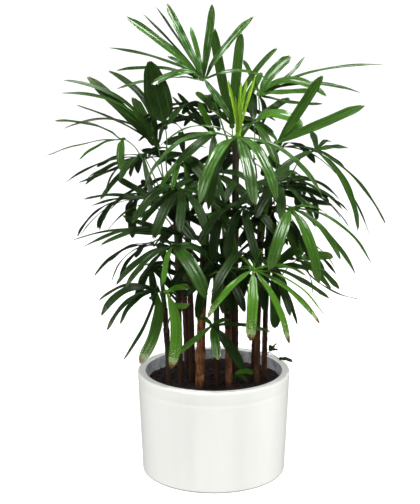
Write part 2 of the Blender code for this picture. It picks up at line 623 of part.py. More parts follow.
# A leaflet's ribs and edges: its middle line is a quadratic arch from hub to tip that rises towards the
# bow. Each section is (left, right, keel): a flat upper face over a shallow keel.
def blade_sections(hub, tip, width, rise, bow, facing, root, widths, grow=0.0):
    chord = tip - hub
    way = unit(chord)
    lift = unit(bow - way * np.dot(way, bow))
    middle = hub + ARCH_PLACE * chord + 2 * rise * lift
    share = np.array(BLADE_STATIONS)[:, None]
    rib = (1 - share) ** 2 * hub + 2 * share * (1 - share) * middle + share**2 * tip
    slope = rows_unit(2 * (1 - share) * (middle - hub) + 2 * share * (tip - middle))
    level = unit(np.cross(way, facing))
    across = rows_unit(level - slope * (slope @ level)[:, None])
    above = np.cross(across, slope)
    rib[0], across[0], above[0] = hub + root, unit(np.cross(root, facing)), facing
    wide = np.array(widths) * width
    wide[0] = ROOT_WIDTH
    return sections_along(rib, across, above, wide + grow, np.array(BLADE_DEPTHS) + grow)


def sections_along(rib, across, above, wide, deep):
    half = across * wide[:, None] / 2
    top = rib + above * deep[:, None] * (1 - KEEL_SHARE)
    keel = rib - above * deep[:, None] * KEEL_SHARE
    return np.stack([top - half, top + half, keel], axis=1)


# The triangles of a run of sections that starts at a given vertex: sides, and the far end closed.
def run_faces(first, count, stops=True):
    faces = []
    for k in range(count - 1):
        a, b = first + 3 * k, first + 3 * k + 3
        for i, j in ((0, 1), (1, 2), (2, 0)):
            faces.append((a + i, a + j, b + j))
            faces.append((a + i, b + j, b + i))
    end = first + 3 * (count - 1)
    faces.append((end, end + 1, end + 2))
    if stops:
        faces.append((first, first + 2, first + 1))
    return faces


def run_mesh(sections):
    return sections.reshape(-1, 3), run_faces(0, len(sections))


# A leaf stalk, from its hub down to the cane, which it meets square: a cubic curve, bent by sag.
def stalk_sections(seat_point, normal, hub, facing, root, sag, grow=0.0):
    span = np.linalg.norm(hub - seat_point)
    start = hub + root
    lead = seat_point + normal * STALK_FOOT
    first_lead, second_lead, second_rise = STALK_LEADS
    first = start + unit(root) * first_lead * span + sag
    second = lead + normal * second_lead * span + np.array([0, 0, second_rise * span]) + sag
    share = np.linspace(0, 1, STALK_STEPS + 1)[:, None]
    path = (1 - share) ** 3 * start + 3 * share * (1 - share) ** 2 * first
    path = np.vstack([path + 3 * share**2 * (1 - share) * second + share**3 * lead, seat_point])
    slope = np.gradient(path, axis=0)
    slope[0], slope[-1] = root, -normal
    above = [facing]
    across = []
    for way in slope:
        side = unit(np.cross(way, above[-1]))
        across.append(side)
        above.append(np.cross(side, unit(way)))
    size = np.full(len(path), STALK_SIZE + grow)
    size[0] = ROOT_WIDTH + grow
    return sections_along(path, np.array(across), np.array(above[1:]), size, size)


# Places round the hub for the roots of a frond's stalk and leaflets, spread so that no two touch.
def hub_ring(facing, ways):
    radius = HUB_RADIUS * max(1.0, len(ways) / HUB_CROWD)
    first = unit(np.cross(facing, RING_START))
    second = np.cross(facing, first)
    angles = np.array([math.atan2(way @ second, way @ first) for way in ways])
    order = np.argsort(angles)
    spread = angles[order]
    least = ROOT_SPACING / radius
    for _ in range(RING_PASSES):
        gaps = np.roll(spread, -1) - spread
        gaps[-1] += 2 * math.pi
        push = np.maximum(0.0, least - gaps) / 2
        spread = spread - push + np.roll(push, 1)
    ring = np.empty_like(spread)
    ring[order] = spread
    return [radius * (math.cos(angle) * first + math.sin(angle) * second) for angle in ring], list(order)


# A whole frond in one skin: the runs of stalk and leaflets share their root points with the hub's disc.
def frond_mesh(hub, facing, runs, order):
    points = [hub + facing * HUB_RISE, hub - facing * HUB_DROP]
    faces = []
    firsts = {}
    for member, run in runs.items():
        firsts[member] = len(points)
        points += list(run.reshape(-1, 3))
        faces += run_faces(firsts[member], len(run), stops=False)
    for number, member in enumerate(order):
        left, right, keel = (firsts[member] + i for i in range(3))
        after = firsts[order[(number + 1) % len(order)]] + 1
        faces += [(0, right, left), (0, left, after), (1, after, left), (1, left, keel), (1, keel, right)]
    return np.array(points), faces


def tree_of(meshes):
    points = []
    faces = []
    for mesh_points, mesh_faces in meshes:
        base = len(points)
        points += [Vector(p) for p in mesh_points]
        faces += [tuple(base + i for i in face) for face in mesh_faces]
    return BVHTree.FromPolygons(points, faces)


# How many pairs of triangles of a mesh and of what already stands cross each other.
def crossings(mesh, standing):
    return len(tree_of([mesh]).overlap(standing))


# The same within one mesh, leaving out triangles that share a corner.
def own_crossings(mesh):
    tree = tree_of([mesh])
    faces = [set(face) for face in mesh[1]]
    return sum(1 for a, b in tree.overlap(tree) if not faces[a] & faces[b])


# The tries for a leaflet, smallest first: the tip moved on its line of sight and up or down, and the
# arch raised or lowered, until it stands clear. Where all of them fail, the leaflet is a shorter one.
def bends(limits, costs):
    moves = itertools.product(*(range(-limit, limit + 1) for limit in limits))
    return sorted(moves, key=lambda move: (sum(c * m * m for c, m in zip(costs, move)), move))


BENDS = bends(BEND_LIMITS, BEND_COSTS)


def bent_blade(frond, leaflet, root, standing, own):
    tip, width, rise, bow = leaflet
    line = unit(tip - np.array(EYE))
    best = None
    for trim, (along, more, up) in itertools.product(TRIMS, BENDS):
        end = tip + line * along * BEND_STEP + np.array([0, 0, up * DROP_STEP])
        end = frond["hub"] + trim * (end - frond["hub"])
        arch = (frond["hub"], end, width, rise + more * RISE_STEP, bow)
        shape = (*arch, frond["facing"], root, frond["widths"])
        count = crossings(run_mesh(blade_sections(*shape, CLEARANCE)), standing)
        count += crossings(run_mesh(blade_sections(*shape, OWN_CLEARANCE)), own)
        if best is None or count < best[0]:
            best = (count, shape)
        if count == 0:
            break
    return best[0], blade_sections(*best[1])


# Sideways and upward bends to try for a leaf stalk, smallest first.
def stalk_bends(way):
    sideways = unit(np.cross(way, np.array([0, 0, 1.0])))
    upward = np.cross(sideways, way)
    for a, b in bends(STALK_LIMITS, (1.0, 1.0)):
        yield SAG_STEP * (a * sideways + b * upward)


def bent_stalk(frond, cane_tree, root, standing):
    seat_point, normal = seat(cane_tree, CANES[frond["cane"]], frond["joint"], frond["hub"])
    best = None
    for sag in stalk_bends(unit(frond["hub"] - seat_point)):
        shape = (seat_point, normal, frond["hub"], frond["facing"], root, sag)
        count = crossings(run_mesh(stalk_sections(*shape, CLEARANCE)[:-1]), standing)
        if best is None or count < best[0]:
            best = (count, shape)
        if count == 0:
            break
    return best[0], stalk_sections(*best[1])


# Where a stalk meets its cane: on the cane's surface, on the side that faces the frond.
def seat(cane_tree, cane, height, towards):
    centre = Vector(cane_centre(cane, height))
    out = Vector((towards[0] - centre.x, towards[1] - centre.y, 0)).normalized()
    hit, normal, _, _ = cane_tree.ray_cast(centre + SEAT_REACH * out, -out)
    return np.array(hit + normal * GAP), np.array(normal)


# spare tells that a leaflet which finds no clear place may be left out.
def frond_shape(hub, cane, joint, facing, leaflets, widths, spare):
    frond = dict(hub=hub, cane=cane, joint=joint, facing=facing)
    return dict(frond, leaflets=leaflets, widths=widths, spare=spare)


# The shapes to try for a frond seen from the front: its hub moves on its line of sight.
def seen_fronds(entry):
    facing = unit(np.array(entry["facing"]))
    widths = entry.get("widths", BLADE_WIDTHS)
    for step in HUB_STEPS:
        hub = sight(*entry["hub"], entry["depth"] + step)
        leaflets = []
        for u, v, reach, width, rise, *bow in entry["leaflets"]:
            bow = np.array(bow[0]) if bow else facing
            leaflets.append((seen_tip(hub, u, v, reach, entry["length"]), width, rise, bow))
        yield frond_shape(hub, entry["cane"], entry["joint"], facing, leaflets, widths, spare=False)


# The shapes to try for a frond that the rule places: each one strays a little more from its row.
def fill_fronds(row, seed):
    cane_name, joint, azimuth, distance, climb, longest, hang = row
    draw = random.Random(seed)
    up = np.array([0.0, 0.0, 1.0])
    for number in range(FILL_TRIES):
        stray = FILL_STRAY * (1 + FILL_STRAY_GROWTH * number)
        heading = math.radians(azimuth) + draw.uniform(-stray, stray)
        out = np.array([math.cos(heading), math.sin(heading), 0.0])
        far = distance * (1 + draw.uniform(-stray, stray))
        high = climb * (1 + draw.uniform(-stray, stray))
        hub = cane_centre(CANES[cane_name], joint) + far * out + high * up
        facing = unit(up + FILL_TILT * out)
        leaflets = []
        for i in range(FILL_LEAFLETS):
            share = 2 * i / (FILL_LEAFLETS - 1) - 1
            fan = FILL_SPREAD * share + draw.uniform(-FAN_STRAY, FAN_STRAY)
            way = math.cos(fan) * out + math.sin(fan) * np.cross(up, out)
            way = unit(way - hang * draw.uniform(*HANG_RANGE) * up)
            length = longest * (1 - OUTER_SHORTER * abs(share)) * draw.uniform(*LENGTH_RANGE)
            width, rise = draw.uniform(*FILL_WIDTHS), draw.uniform(*FILL_RISES)
            leaflets.append((hub + way * length, width, rise, facing))
        yield frond_shape(hub, cane_name, joint, facing, leaflets, BLADE_WIDTHS, spare=True)


def catalogue():
    for name, entry in FRONDS.items():
        yield name, seen_fronds(entry)
    for number, row in enumerate(FILL_FRONDS, 1):
        yield f"frond_fill_{number:02d}", fill_fronds(row, FILL_SEED + number)


def make_canes():
    shapes = {name: cane_mesh(cane) for name, cane in CANES.items()}
    for name, shape in shapes.items():
        place(name, *shape, "cane", smooth=True)
    return shapes


# One shape of a frond, its stalk and then each leaflet bent clear of what already stands.
def shape_frond(frond, cane_tree, standing):
    cane = CANES[frond["cane"]]
    ways = [np.array([*cane["foot"], frond["joint"]]) - frond["hub"]]
    ways += [tip - frond["hub"] + 2 * rise * bow for tip, _, rise, bow in frond["leaflets"]]
    roots, order = hub_ring(frond["facing"], ways)
    crossed, stalk = bent_stalk(frond, cane_tree, roots[0], standing)
    runs = {0: stalk}
    for member, leaflet in enumerate(frond["leaflets"], 1):
        own = tree_of([run_mesh(run) for run in runs.values()])
        count, run = bent_blade(frond, leaflet, roots[member], standing, own)
        if count and frond["spare"]:
            continue
        crossed += count
        runs[member] = run
    mesh = frond_mesh(frond["hub"], frond["facing"], runs, [member for member in order if member in runs])
    crossed += crossings(mesh, standing) + own_crossings(mesh)
    missing = len(ways) - len(runs)
    return crossed + (missing if missing > MOST_MISSING else 0), mesh


def make_fronds(canes):
    shapes = list(canes.values())
    cane_trees = {name: tree_of([shape]) for name, shape in canes.items()}
    for name, tries in catalogue():
        standing = tree_of(shapes)
        best = None
        for number, frond in enumerate(tries):
            crossed, mesh = shape_frond(frond, cane_trees[frond["cane"]], standing)
            if best is None or crossed < best[0]:
                best = (crossed, mesh)
            if crossed == 0:
                break
        if best[0]:
            print(name, "still crosses at", best[0], "places")
        shapes.append(best[1])
        place(name, *best[1], "young_leaf" if name == "frond_young" else "leaf")


def main():
    clear_scene()
    make_pot()
    make_soil([hole_mesh(cane) for cane in CANES.values()])
    make_fronds(make_canes())


main()
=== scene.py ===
# A potted lady palm in full detail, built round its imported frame. Metres, +Z up, the viewer towards -Y.
import json
import math

import bpy
import numpy as np
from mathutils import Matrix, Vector

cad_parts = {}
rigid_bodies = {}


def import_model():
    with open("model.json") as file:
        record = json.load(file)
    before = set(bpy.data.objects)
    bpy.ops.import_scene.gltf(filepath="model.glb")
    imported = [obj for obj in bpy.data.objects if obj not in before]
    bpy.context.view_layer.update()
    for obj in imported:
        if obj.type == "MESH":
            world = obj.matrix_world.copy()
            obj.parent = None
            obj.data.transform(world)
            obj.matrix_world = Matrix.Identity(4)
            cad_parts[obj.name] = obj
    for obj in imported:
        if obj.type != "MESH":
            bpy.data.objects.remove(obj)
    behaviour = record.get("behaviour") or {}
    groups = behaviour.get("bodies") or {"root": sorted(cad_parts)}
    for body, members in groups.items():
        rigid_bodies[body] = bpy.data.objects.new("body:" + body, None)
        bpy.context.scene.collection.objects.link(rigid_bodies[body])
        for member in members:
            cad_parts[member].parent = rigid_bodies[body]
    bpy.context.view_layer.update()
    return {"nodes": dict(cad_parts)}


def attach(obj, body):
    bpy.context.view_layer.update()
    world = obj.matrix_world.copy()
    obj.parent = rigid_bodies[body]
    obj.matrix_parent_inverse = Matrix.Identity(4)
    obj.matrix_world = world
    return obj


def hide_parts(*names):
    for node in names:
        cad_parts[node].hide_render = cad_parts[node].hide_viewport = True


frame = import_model()
print("frame loaded:", len(frame["nodes"]), "nodes")

upwards = np.array((0.0, 0.0, 1.0))


# Each vector divided by its own length.
def unitOf(vectors):
    return vectors / np.maximum(np.linalg.norm(vectors, axis=-1, keepdims=True), 1e-12)


# 0 before the start, 1 after the end, and a smooth S between them.
def smoothStep(values, start, end):
    share = np.clip((values - start) / (end - start), 0, 1)
    return share * share * (3 - 2 * share)


# The cubic from first to last at a share of the way, with the slopes it leaves and arrives with.
def cubicBetween(first, leave, last, arrive, share):
    start = (2 * share**3 - 3 * share**2 + 1) * first + (share**3 - 2 * share**2 + share) * leave
    return start + ((3 * share**2 - 2 * share**3) * last + (share**3 - share**2) * arrive)


# A smooth curve through values at stations, in cubic pieces. Each station's slope is the mean of the
# slopes on its two sides; steady takes their harmonic mean, which never overshoots.
def smoothThrough(stations, values, at, steady=False):
    x = np.asarray(stations, float)
    y = np.asarray(values, float)
    gaps = np.diff(x)
    rise = np.diff(y, axis=0) / gaps.reshape((-1,) + (1,) * (y.ndim - 1))
    inner = (rise[1:] + rise[:-1]) / 2
    if steady:
        product = rise[1:] * rise[:-1]
        inner = np.where(product > 0, 2 * product / np.where(product > 0, rise[1:] + rise[:-1], 1), 0)
    slope = np.concatenate([rise[:1], inner, rise[-1:]])
    spot = np.clip(np.searchsorted(x, at, side="right") - 1, 0, len(x) - 2)
    shape = np.shape(at) + (1,) * (y.ndim - 1)
    share = ((np.asarray(at) - x[spot]) / gaps[spot]).reshape(shape)
    span = gaps[spot].reshape(shape)
    return cubicBetween(y[spot], span * slope[spot], y[spot + 1], span * slope[spot + 1], share)


# Angles of points spread evenly round a ring.
def anglesRound(count):
    return 2 * math.pi * np.arange(count) / count


# Points at a radius and an angle about the upright axis, at height 0.
def roundAxis(radius, turn):
    x, y = radius * np.cos(turn), radius * np.sin(turn)
    return np.stack([x, y, 0 * x], -1)


# Quads between neighbouring points of a grid that is kept row by row and whose columns close round.
def gridQuads(rows, columns):
    row, column = np.meshgrid(np.arange(rows - 1), np.arange(columns), indexing="ij")
    low, high, after = row * columns, (row + 1) * columns, (column + 1) % columns
    return np.stack([low + column, low + after, high + after, high + column], axis=-1).reshape(-1, 4)


# One closed skin: its points, its faces, the name of its finish, and values that each point carries.
def partOf(points, faces, finish, **values):
    spread = {key: np.broadcast_to(value, len(points)).astype(np.float32) for key, value in values.items()}
    return dict(points=points, faces=faces, finish=finish, values=spread)


# A tube of rings, closed at both ends by a face over the whole ring. It faces outwards where each ring
# runs anticlockwise seen from the last ring.
def tubePart(rings, finish, **values):
    rows, columns = rings.shape[:2]
    ends = np.arange(columns)
    faces = [gridQuads(rows, columns), ends[None, ::-1], ends[None] + (rows - 1) * columns]
    return partOf(rings.reshape(-1, 3), faces, finish, **values)


# A round tube along a path. Rings stand square to the path and keep turning as little as they can; the
# radius may differ along it, and channel flattens its upper side.
def ringsAlong(path, radius, columns, upward, channel=0.0):
    slope = unitOf(np.gradient(path, axis=0))
    side = unitOf(np.cross(slope, upward))
    up = np.cross(side, slope)
    turn = anglesRound(columns)
    lift = np.where(np.sin(turn) > 0, np.sin(turn) * (1 - channel), np.sin(turn))
    spokes = np.cos(turn)[None, :, None] * side[:, None] + lift[None, :, None] * up[:, None]
    return path[:, None] + np.reshape(radius, (-1, 1, 1)) * spokes


# Puts a mesh, light or camera into the scene as an object of the given name.
def objectOf(name, data):
    thing = bpy.data.objects.new(name, data)
    bpy.context.scene.collection.objects.link(thing)
    return thing


# Puts parts into one mesh object. The values of its points become attributes that the materials read.
def makePiece(name, parts, finishNames, replaced, creaseDegrees=50):
    points = np.concatenate([part["points"] for part in parts])
    loops, starts, indexes = [], [], []
    base = cursor = 0
    for part in parts:
        for faces in part["faces"]:
            loops.append((faces + base).ravel())
            starts.append(cursor + np.arange(len(faces)) * faces.shape[1])
            indexes.append(np.full(len(faces), finishNames.index(part["finish"])))
            cursor += faces.size
        base += len(part["points"])
    mesh = bpy.data.meshes.new(name)
    mesh.vertices.add(len(points))
    mesh.vertices.foreach_set("co", points.astype(np.float32).ravel())
    mesh.loops.add(cursor)
    mesh.loops.foreach_set("vertex_index", np.concatenate(loops).astype(np.int32))
    mesh.polygons.add(sum(len(start) for start in starts))
    mesh.polygons.foreach_set("loop_start", np.concatenate(starts).astype(np.int32))
    mesh.polygons.foreach_set("material_index", np.concatenate(indexes).astype(np.int32))
    mesh.update(calc_edges=True)
    for key in sorted({key for part in parts for key in part["values"]}):
        column = [part["values"].get(key, np.zeros(len(part["points"]), np.float32)) for part in parts]
        mesh.attributes.new(key, "FLOAT", "POINT").data.foreach_set("value", np.concatenate(column))
    for finishName in finishNames:
        mesh.materials.append(finishes[finishName])
    mesh.shade_smooth()
    mesh.set_sharp_from_angle(angle=math.radians(creaseDegrees))
    piece = objectOf(name, mesh)
    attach(piece, "root")
    if replaced:
        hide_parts(*replaced)


# A shader node with its settings. Each input is a constant, or the socket of another node that feeds it.
def nodeOf(tree, kind, inputs=None, **settings):
    node = tree.nodes.new("ShaderNode" + kind)
    for key, value in settings.items():
        setattr(node, key, value)
    for key, value in (inputs or {}).items():
        if isinstance(value, bpy.types.NodeSocket):
            tree.links.new(value, node.inputs[key])
        else:
            node.inputs[key].default_value = value
    return node


# One sum, named by its operation, on up to three numbers or sockets.
def sumOf(tree, operation, first, second=0.0, third=0.0):
    return nodeOf(tree, "Math", {0: first, 1: second, 2: third}, operation=operation).outputs[0]


# One of the values that the points of a part carry.
def attributeOf(tree, name):
    return nodeOf(tree, "Attribute", attribute_name=name).outputs["Fac"]


# Soft random patches from 0 to 1, so many to a metre of the vector.
def noiseOf(tree, vector, scale, detail=3.0, roughness=0.55):
    inputs = {"Vector": vector, "Scale": scale, "Detail": detail, "Roughness": roughness}
    return nodeOf(tree, "TexNoise", inputs).outputs["Fac"]


# A noise from 0 to 1 made as wide as size and laid evenly about zero.
def aboutZero(tree, noise, size):
    return sumOf(tree, "MULTIPLY_ADD", noise, size, -size / 2)


# A value taken from low..high to lowTo..highTo, by a smooth S or by a straight line.
def rangeOf(tree, value, low, high, lowTo=0.0, highTo=1.0, smooth=True):
    inputs = {"Value": value, "From Min": low, "From Max": high, "To Min": lowTo, "To Max": highTo}
    kind = "SMOOTHSTEP" if smooth else "LINEAR"
    return nodeOf(tree, "MapRange", inputs, interpolation_type=kind).outputs[0]


# Roughness between the two given values, by a grain's own dark and light.
def roughBy(tree, grain, roughness):
    return rangeOf(tree, grain, 0.2, 0.8, *roughness)


# A colour from a row of stops, each a place from 0 to 1 and its colour.
def rampOf(tree, value, stops):
    node = nodeOf(tree, "ValToRGB", {"Fac": value})
    ramp = node.color_ramp
    while len(ramp.elements) < len(stops):
        ramp.elements.new(0.5)
    for element, (place, colour) in zip(ramp.elements, stops):
        element.position = place
        element.color = (*colour, 1.0)
    return node.outputs["Color"]


# The first colour at factor 0, the second at 1. In Blender's mix node, sockets 6 and 7 are its two colours.
def mixOf(tree, factor, first, second):
    first, second = ((*colour, 1.0) if isinstance(colour, tuple) else colour for colour in (first, second))
    return nodeOf(tree, "Mix", {0: factor, 6: first, 7: second}, data_type="RGBA").outputs[2]


# The place on the object, with its height scaled: below 1 it draws a pattern out upwards.
def stretched(tree, upScale=1.0):
    place = nodeOf(tree, "TexCoord").outputs["Object"]
    return nodeOf(tree, "VectorMath", {0: place, 1: (1, 1, upScale)}, operation="MULTIPLY").outputs[0]


# A material with the given constants of its shader, whose names have underscores for spaces.
def newMaterial(name, **constants):
    material = bpy.data.materials.new(name)
    material.use_nodes = True
    shader = material.node_tree.nodes["Principled BSDF"]
    for key, value in constants.items():
        shader.inputs[key.replace("_", " ")].default_value = value
    return material, material.node_tree, shader


# Gives the shader its colour, its roughness, and a bump of a height with a strength and a depth in metres.
def finishWith(tree, shader, colour, roughness=None, height=None, bump=None):
    tree.links.new(colour, shader.inputs["Base Color"])
    if roughness is not None:
        tree.links.new(roughness, shader.inputs["Roughness"])
    if height is not None:
        strength, depth = bump
        relief = nodeOf(tree, "Bump", {"Height": height, "Strength": strength, "Distance": depth})
        tree.links.new(relief.outputs["Normal"], shader.inputs["Normal"])


leafFinish = {
    "greens": (
        (0.00, (0.006, 0.013, 0.003)),
        (0.25, (0.016, 0.036, 0.008)),
        (0.50, (0.032, 0.088, 0.010)),
        (0.75, (0.058, 0.164, 0.012)),
        (1.00, (0.110, 0.255, 0.018)),
    ),
    "limes": (
        (0.00, (0.035, 0.100, 0.010)),
        (0.50, (0.110, 0.240, 0.018)),
        (1.00, (0.240, 0.420, 0.035)),
    ),
    "underside": (0.060, 0.130, 0.045),
    "undersideShare": 0.35,
    "ribLight": 0.10,
    "veins": 26.0,  # across a leaflet
    "veinBreaks": 5.0,  # along it
    "veinLight": 0.16,
    "patches": 26.0,  # to a metre
    "patchLight": 0.24,
    "specks": 420.0,  # to a metre
    "ragged": 0.16,  # how far the worn edge strays along the leaflet
    "paleTip": (0.400, 0.460, 0.240),
    "paleShare": 0.75,
    "paleFrom": (0.84, 0.93),  # where along the leaflet it starts and where it is full
    "spotsFrom": (0.66, 0.86),
    "dryTip": (0.095, 0.040, 0.016),
    "dryFrom": (0.905, 0.945),
    "paintedHighlight": (0.300, 0.510, 0.270),
    "paintedHighlightShare": 0.75,
    "paintedHighlightFrom": (1.07, 1.24),  # sum of veins and patches that shows as painted highlight
    "roughness": (0.30, 0.44),
    "bump": (0.45, 0.0006),
}


# Green darkened and lightened by the leaflet's own tone, by fine veins that run along it, by patches and by
# the ribs of its pleats, paler underneath, with pale streaks of painted highlight where the coat is heavy,
# and with a bleached and then a dry brown tip where the leaflet is worn.
def leafMaterial(name, greens):
    material, tree, shader = newMaterial(name, Coat_Roughness=0.15, Specular_IOR_Level=0.05)
    along, across, tone, sheen, wear = (
        attributeOf(tree, key) for key in ("along", "across", "tone", "sheen", "wear")
    )
    tree.links.new(sheen, shader.inputs["Coat Weight"])
    place = {
        "X": sumOf(tree, "MULTIPLY", along, leafFinish["veinBreaks"]),
        "Y": sumOf(tree, "MULTIPLY", across, leafFinish["veins"]),
        "Z": sumOf(tree, "MULTIPLY", tone, 41.0),  # sets the leaflets' veins apart from each other
    }
    veins = noiseOf(tree, nodeOf(tree, "CombineXYZ", place).outputs[0], 1.0, 2.0)
    patches = noiseOf(tree, stretched(tree), leafFinish["patches"], 2.0)
    specks = noiseOf(tree, stretched(tree), leafFinish["specks"], 2.0)
    ridge = sumOf(tree, "COSINE", sumOf(tree, "MULTIPLY", across, 3 * math.pi))
    shade = sumOf(tree, "ADD", tone, aboutZero(tree, veins, leafFinish["veinLight"]))
    shade = sumOf(tree, "ADD", shade, aboutZero(tree, patches, leafFinish["patchLight"]))
    shade = sumOf(tree, "ADD", shade, rangeOf(tree, ridge, 0.55, 1.0, 0.0, leafFinish["ribLight"]))
    under = sumOf(tree, "MULTIPLY", attributeOf(tree, "under"), leafFinish["undersideShare"])
    # Painted highlight: pale streaks along the veins and ribs where the coat is heavy, standing in for its
    # reflections.
    highlightStreaks = sumOf(tree, "MULTIPLY_ADD", veins, 1.0, sumOf(tree, "MULTIPLY_ADD", ridge, 0.10, patches))
    offRoot = rangeOf(tree, along, 0.04, 0.14)
    highlightStreaks = sumOf(tree, "MULTIPLY", rangeOf(tree, highlightStreaks, *leafFinish["paintedHighlightFrom"]), offRoot)
    highlightStreaks = sumOf(tree, "MULTIPLY", highlightStreaks, rangeOf(tree, sheen, 0.5, 1.0, 0.0, leafFinish["paintedHighlightShare"]))
    worn = sumOf(tree, "ADD", along, aboutZero(tree, specks, leafFinish["ragged"]))
    paleWear = sumOf(tree, "MULTIPLY", wear, leafFinish["paleShare"])
    pale = sumOf(tree, "MULTIPLY", rangeOf(tree, worn, *leafFinish["paleFrom"]), paleWear)
    spots = sumOf(tree, "MULTIPLY", rangeOf(tree, specks, 0.56, 0.62), wear)
    spots = sumOf(tree, "MULTIPLY", spots, rangeOf(tree, along, *leafFinish["spotsFrom"]))
    dry = sumOf(tree, "MULTIPLY", rangeOf(tree, worn, *leafFinish["dryFrom"]), wear)
    layers = ((under, "underside"), (highlightStreaks, "paintedHighlight"), (pale, "paleTip"), (spots, "paleTip"), (dry, "dryTip"))
    colour = rampOf(tree, shade, greens)
    for share, layer in layers:
        colour = mixOf(tree, share, colour, leafFinish[layer])
    roughness = rangeOf(tree, patches, 0.25, 0.75, *leafFinish["roughness"], smooth=False)
    height = sumOf(tree, "MULTIPLY_ADD", veins, 0.6, sumOf(tree, "MULTIPLY", ridge, 0.15))
    finishWith(tree, shader, colour, roughness, height, leafFinish["bump"])
    return material


stalkFinish = {
    "green": ((0.3, (0.030, 0.085, 0.018)), (0.7, (0.075, 0.165, 0.035))),
    "brown": ((0.3, (0.060, 0.030, 0.014)), (0.7, (0.170, 0.095, 0.040))),
    "brownFrom": (0.82, 0.98),  # where along the stalk the brown foot starts and is full
}


# Stalks: green with a brown foot, both by one fine grain; along runs from the hub to the cane.
def stalkMaterial():
    material, tree, shader = newMaterial("stalkGreen")
    grain = noiseOf(tree, stretched(tree, 0.2), 420.0, 2.0)
    green, brown = (rampOf(tree, grain, stalkFinish[key]) for key in ("green", "brown"))
    foot = rangeOf(tree, attributeOf(tree, "along"), *stalkFinish["brownFrom"])
    roughness = roughBy(tree, grain, (0.42, 0.60))
    finishWith(tree, shader, mixOf(tree, foot, green, brown), roughness, grain, (0.4, 0.0006))
    return material


caneFinish = {
    "caneFibre": {
        "browns": (
            (0.30, (0.045, 0.017, 0.008)),
            (0.55, (0.170, 0.062, 0.020)),
            (0.80, (0.400, 0.180, 0.065)),
        ),
        "dark": (0.014, 0.007, 0.005),
    },
    "looseFibre": {
        "browns": (
            (0.30, (0.020, 0.012, 0.008)),
            (0.60, (0.070, 0.038, 0.018)),
            (0.85, (0.150, 0.085, 0.040)),
        ),
        "dark": (0.012, 0.007, 0.006),
    },
    "fresh": (0.014, 0.052, 0.009),
    "toneShadeShare": 0.96,  # of the painted shade where the cane's tone is 0
    "hollowShadeShare": 0.85,
    "roughness": (0.62, 0.90),
    "bump": (0.8, 0.0012),
}


# Canes: long fibres in dark to orange browns, mixed with broader streaks, with painted shade in the hollows
# of the joints and at the foot by the soil, darkened further by painted shade as the cane's own tone goes
# from 1 to 0, and green where they are fresh.
def caneMaterial(name):
    material, tree, shader = newMaterial(name)
    dark = caneFinish[name]["dark"]
    fibres = noiseOf(tree, stretched(tree, 0.06), 900.0, 3.0)
    broad = noiseOf(tree, stretched(tree, 0.22), 120.0, 3.0)
    mixed = sumOf(tree, "MULTIPLY_ADD", broad, 1.1, sumOf(tree, "MULTIPLY_ADD", fibres, 1.0, -0.55))
    colour = rampOf(tree, mixed, caneFinish[name]["browns"])
    # Painted shade in the hollows just over each sheath's lip, in the sleeves' folds and at the foot by the
    # soil.
    hollowShade = rangeOf(tree, attributeOf(tree, "relief"), 0.0, 0.55, caneFinish["hollowShadeShare"], 0.0)
    colour = mixOf(tree, hollowShade, colour, dark)
    # Painted shade: a cane's tone below 1 darkens it for the leaves' shadow over it.
    shaded = rangeOf(tree, attributeOf(tree, "tone"), 0.0, 1.0, caneFinish["toneShadeShare"], 0.0, smooth=False)
    colour = mixOf(tree, shaded, colour, dark)
    colour = mixOf(tree, attributeOf(tree, "fresh"), colour, caneFinish["fresh"])
    roughness = roughBy(tree, fibres, caneFinish["roughness"])
    height = sumOf(tree, "MULTIPLY_ADD", fibres, 0.7, broad)
    finishWith(tree, shader, colour, roughness, height, caneFinish["bump"])
    return material


bedFinish = {
    "soil": ((0.30, (0.006, 0.004, 0.006)), (0.52, (0.020, 0.013, 0.015)), (0.72, (0.052, 0.032, 0.026))),
    "bark": ((0.25, (0.014, 0.008, 0.007)), (0.75, (0.075, 0.040, 0.026))),
}


# Soil: half a fine grain and half broad clods choose between near black and brown.
def soilMaterial():
    material, tree, shader = newMaterial("pottingSoil")
    grain = noiseOf(tree, stretched(tree), 260.0, 5.0, 0.7)
    clods = noiseOf(tree, stretched(tree), 45.0, 3.0)
    mixed = sumOf(tree, "MULTIPLY_ADD", clods, 0.5, sumOf(tree, "MULTIPLY", grain, 0.5))
    colour = rampOf(tree, mixed, bedFinish["soil"])
    finishWith(tree, shader, colour, roughBy(tree, grain, (0.85, 1.0)), grain, (1.0, 0.003))
    return material


# Bark is a little redder and lighter than the soil round it, by its own grain.
def barkMaterial():
    material, tree, shader = newMaterial("barkCrumbs")
    grain = noiseOf(tree, stretched(tree, 0.4), 300.0, 3.0)
    colour = rampOf(tree, grain, bedFinish["bark"])
    finishWith(tree, shader, colour, roughBy(tree, grain, (0.75, 0.95)), grain, (0.8, 0.002))
    return material


potFinish = {
    "white": (0.812, 0.818, 0.776),
    "cool": (0.790, 0.797, 0.757),
    "insideShade": (0.085, 0.090, 0.095),
    "insideShadePale": (0.190, 0.197, 0.200),
    "mouth": (0.1618, 0.1636),  # radii between which the painted shade inside gives way to white
    "footShadow": (0.170, 0.170, 0.160),
    "footShadowHeight": (0.0012, 0.0050),
    "footShadowShare": 0.85,
    "roughness": (0.34, 0.70),  # outside and inside
    "bump": (0.12, 0.001),
}
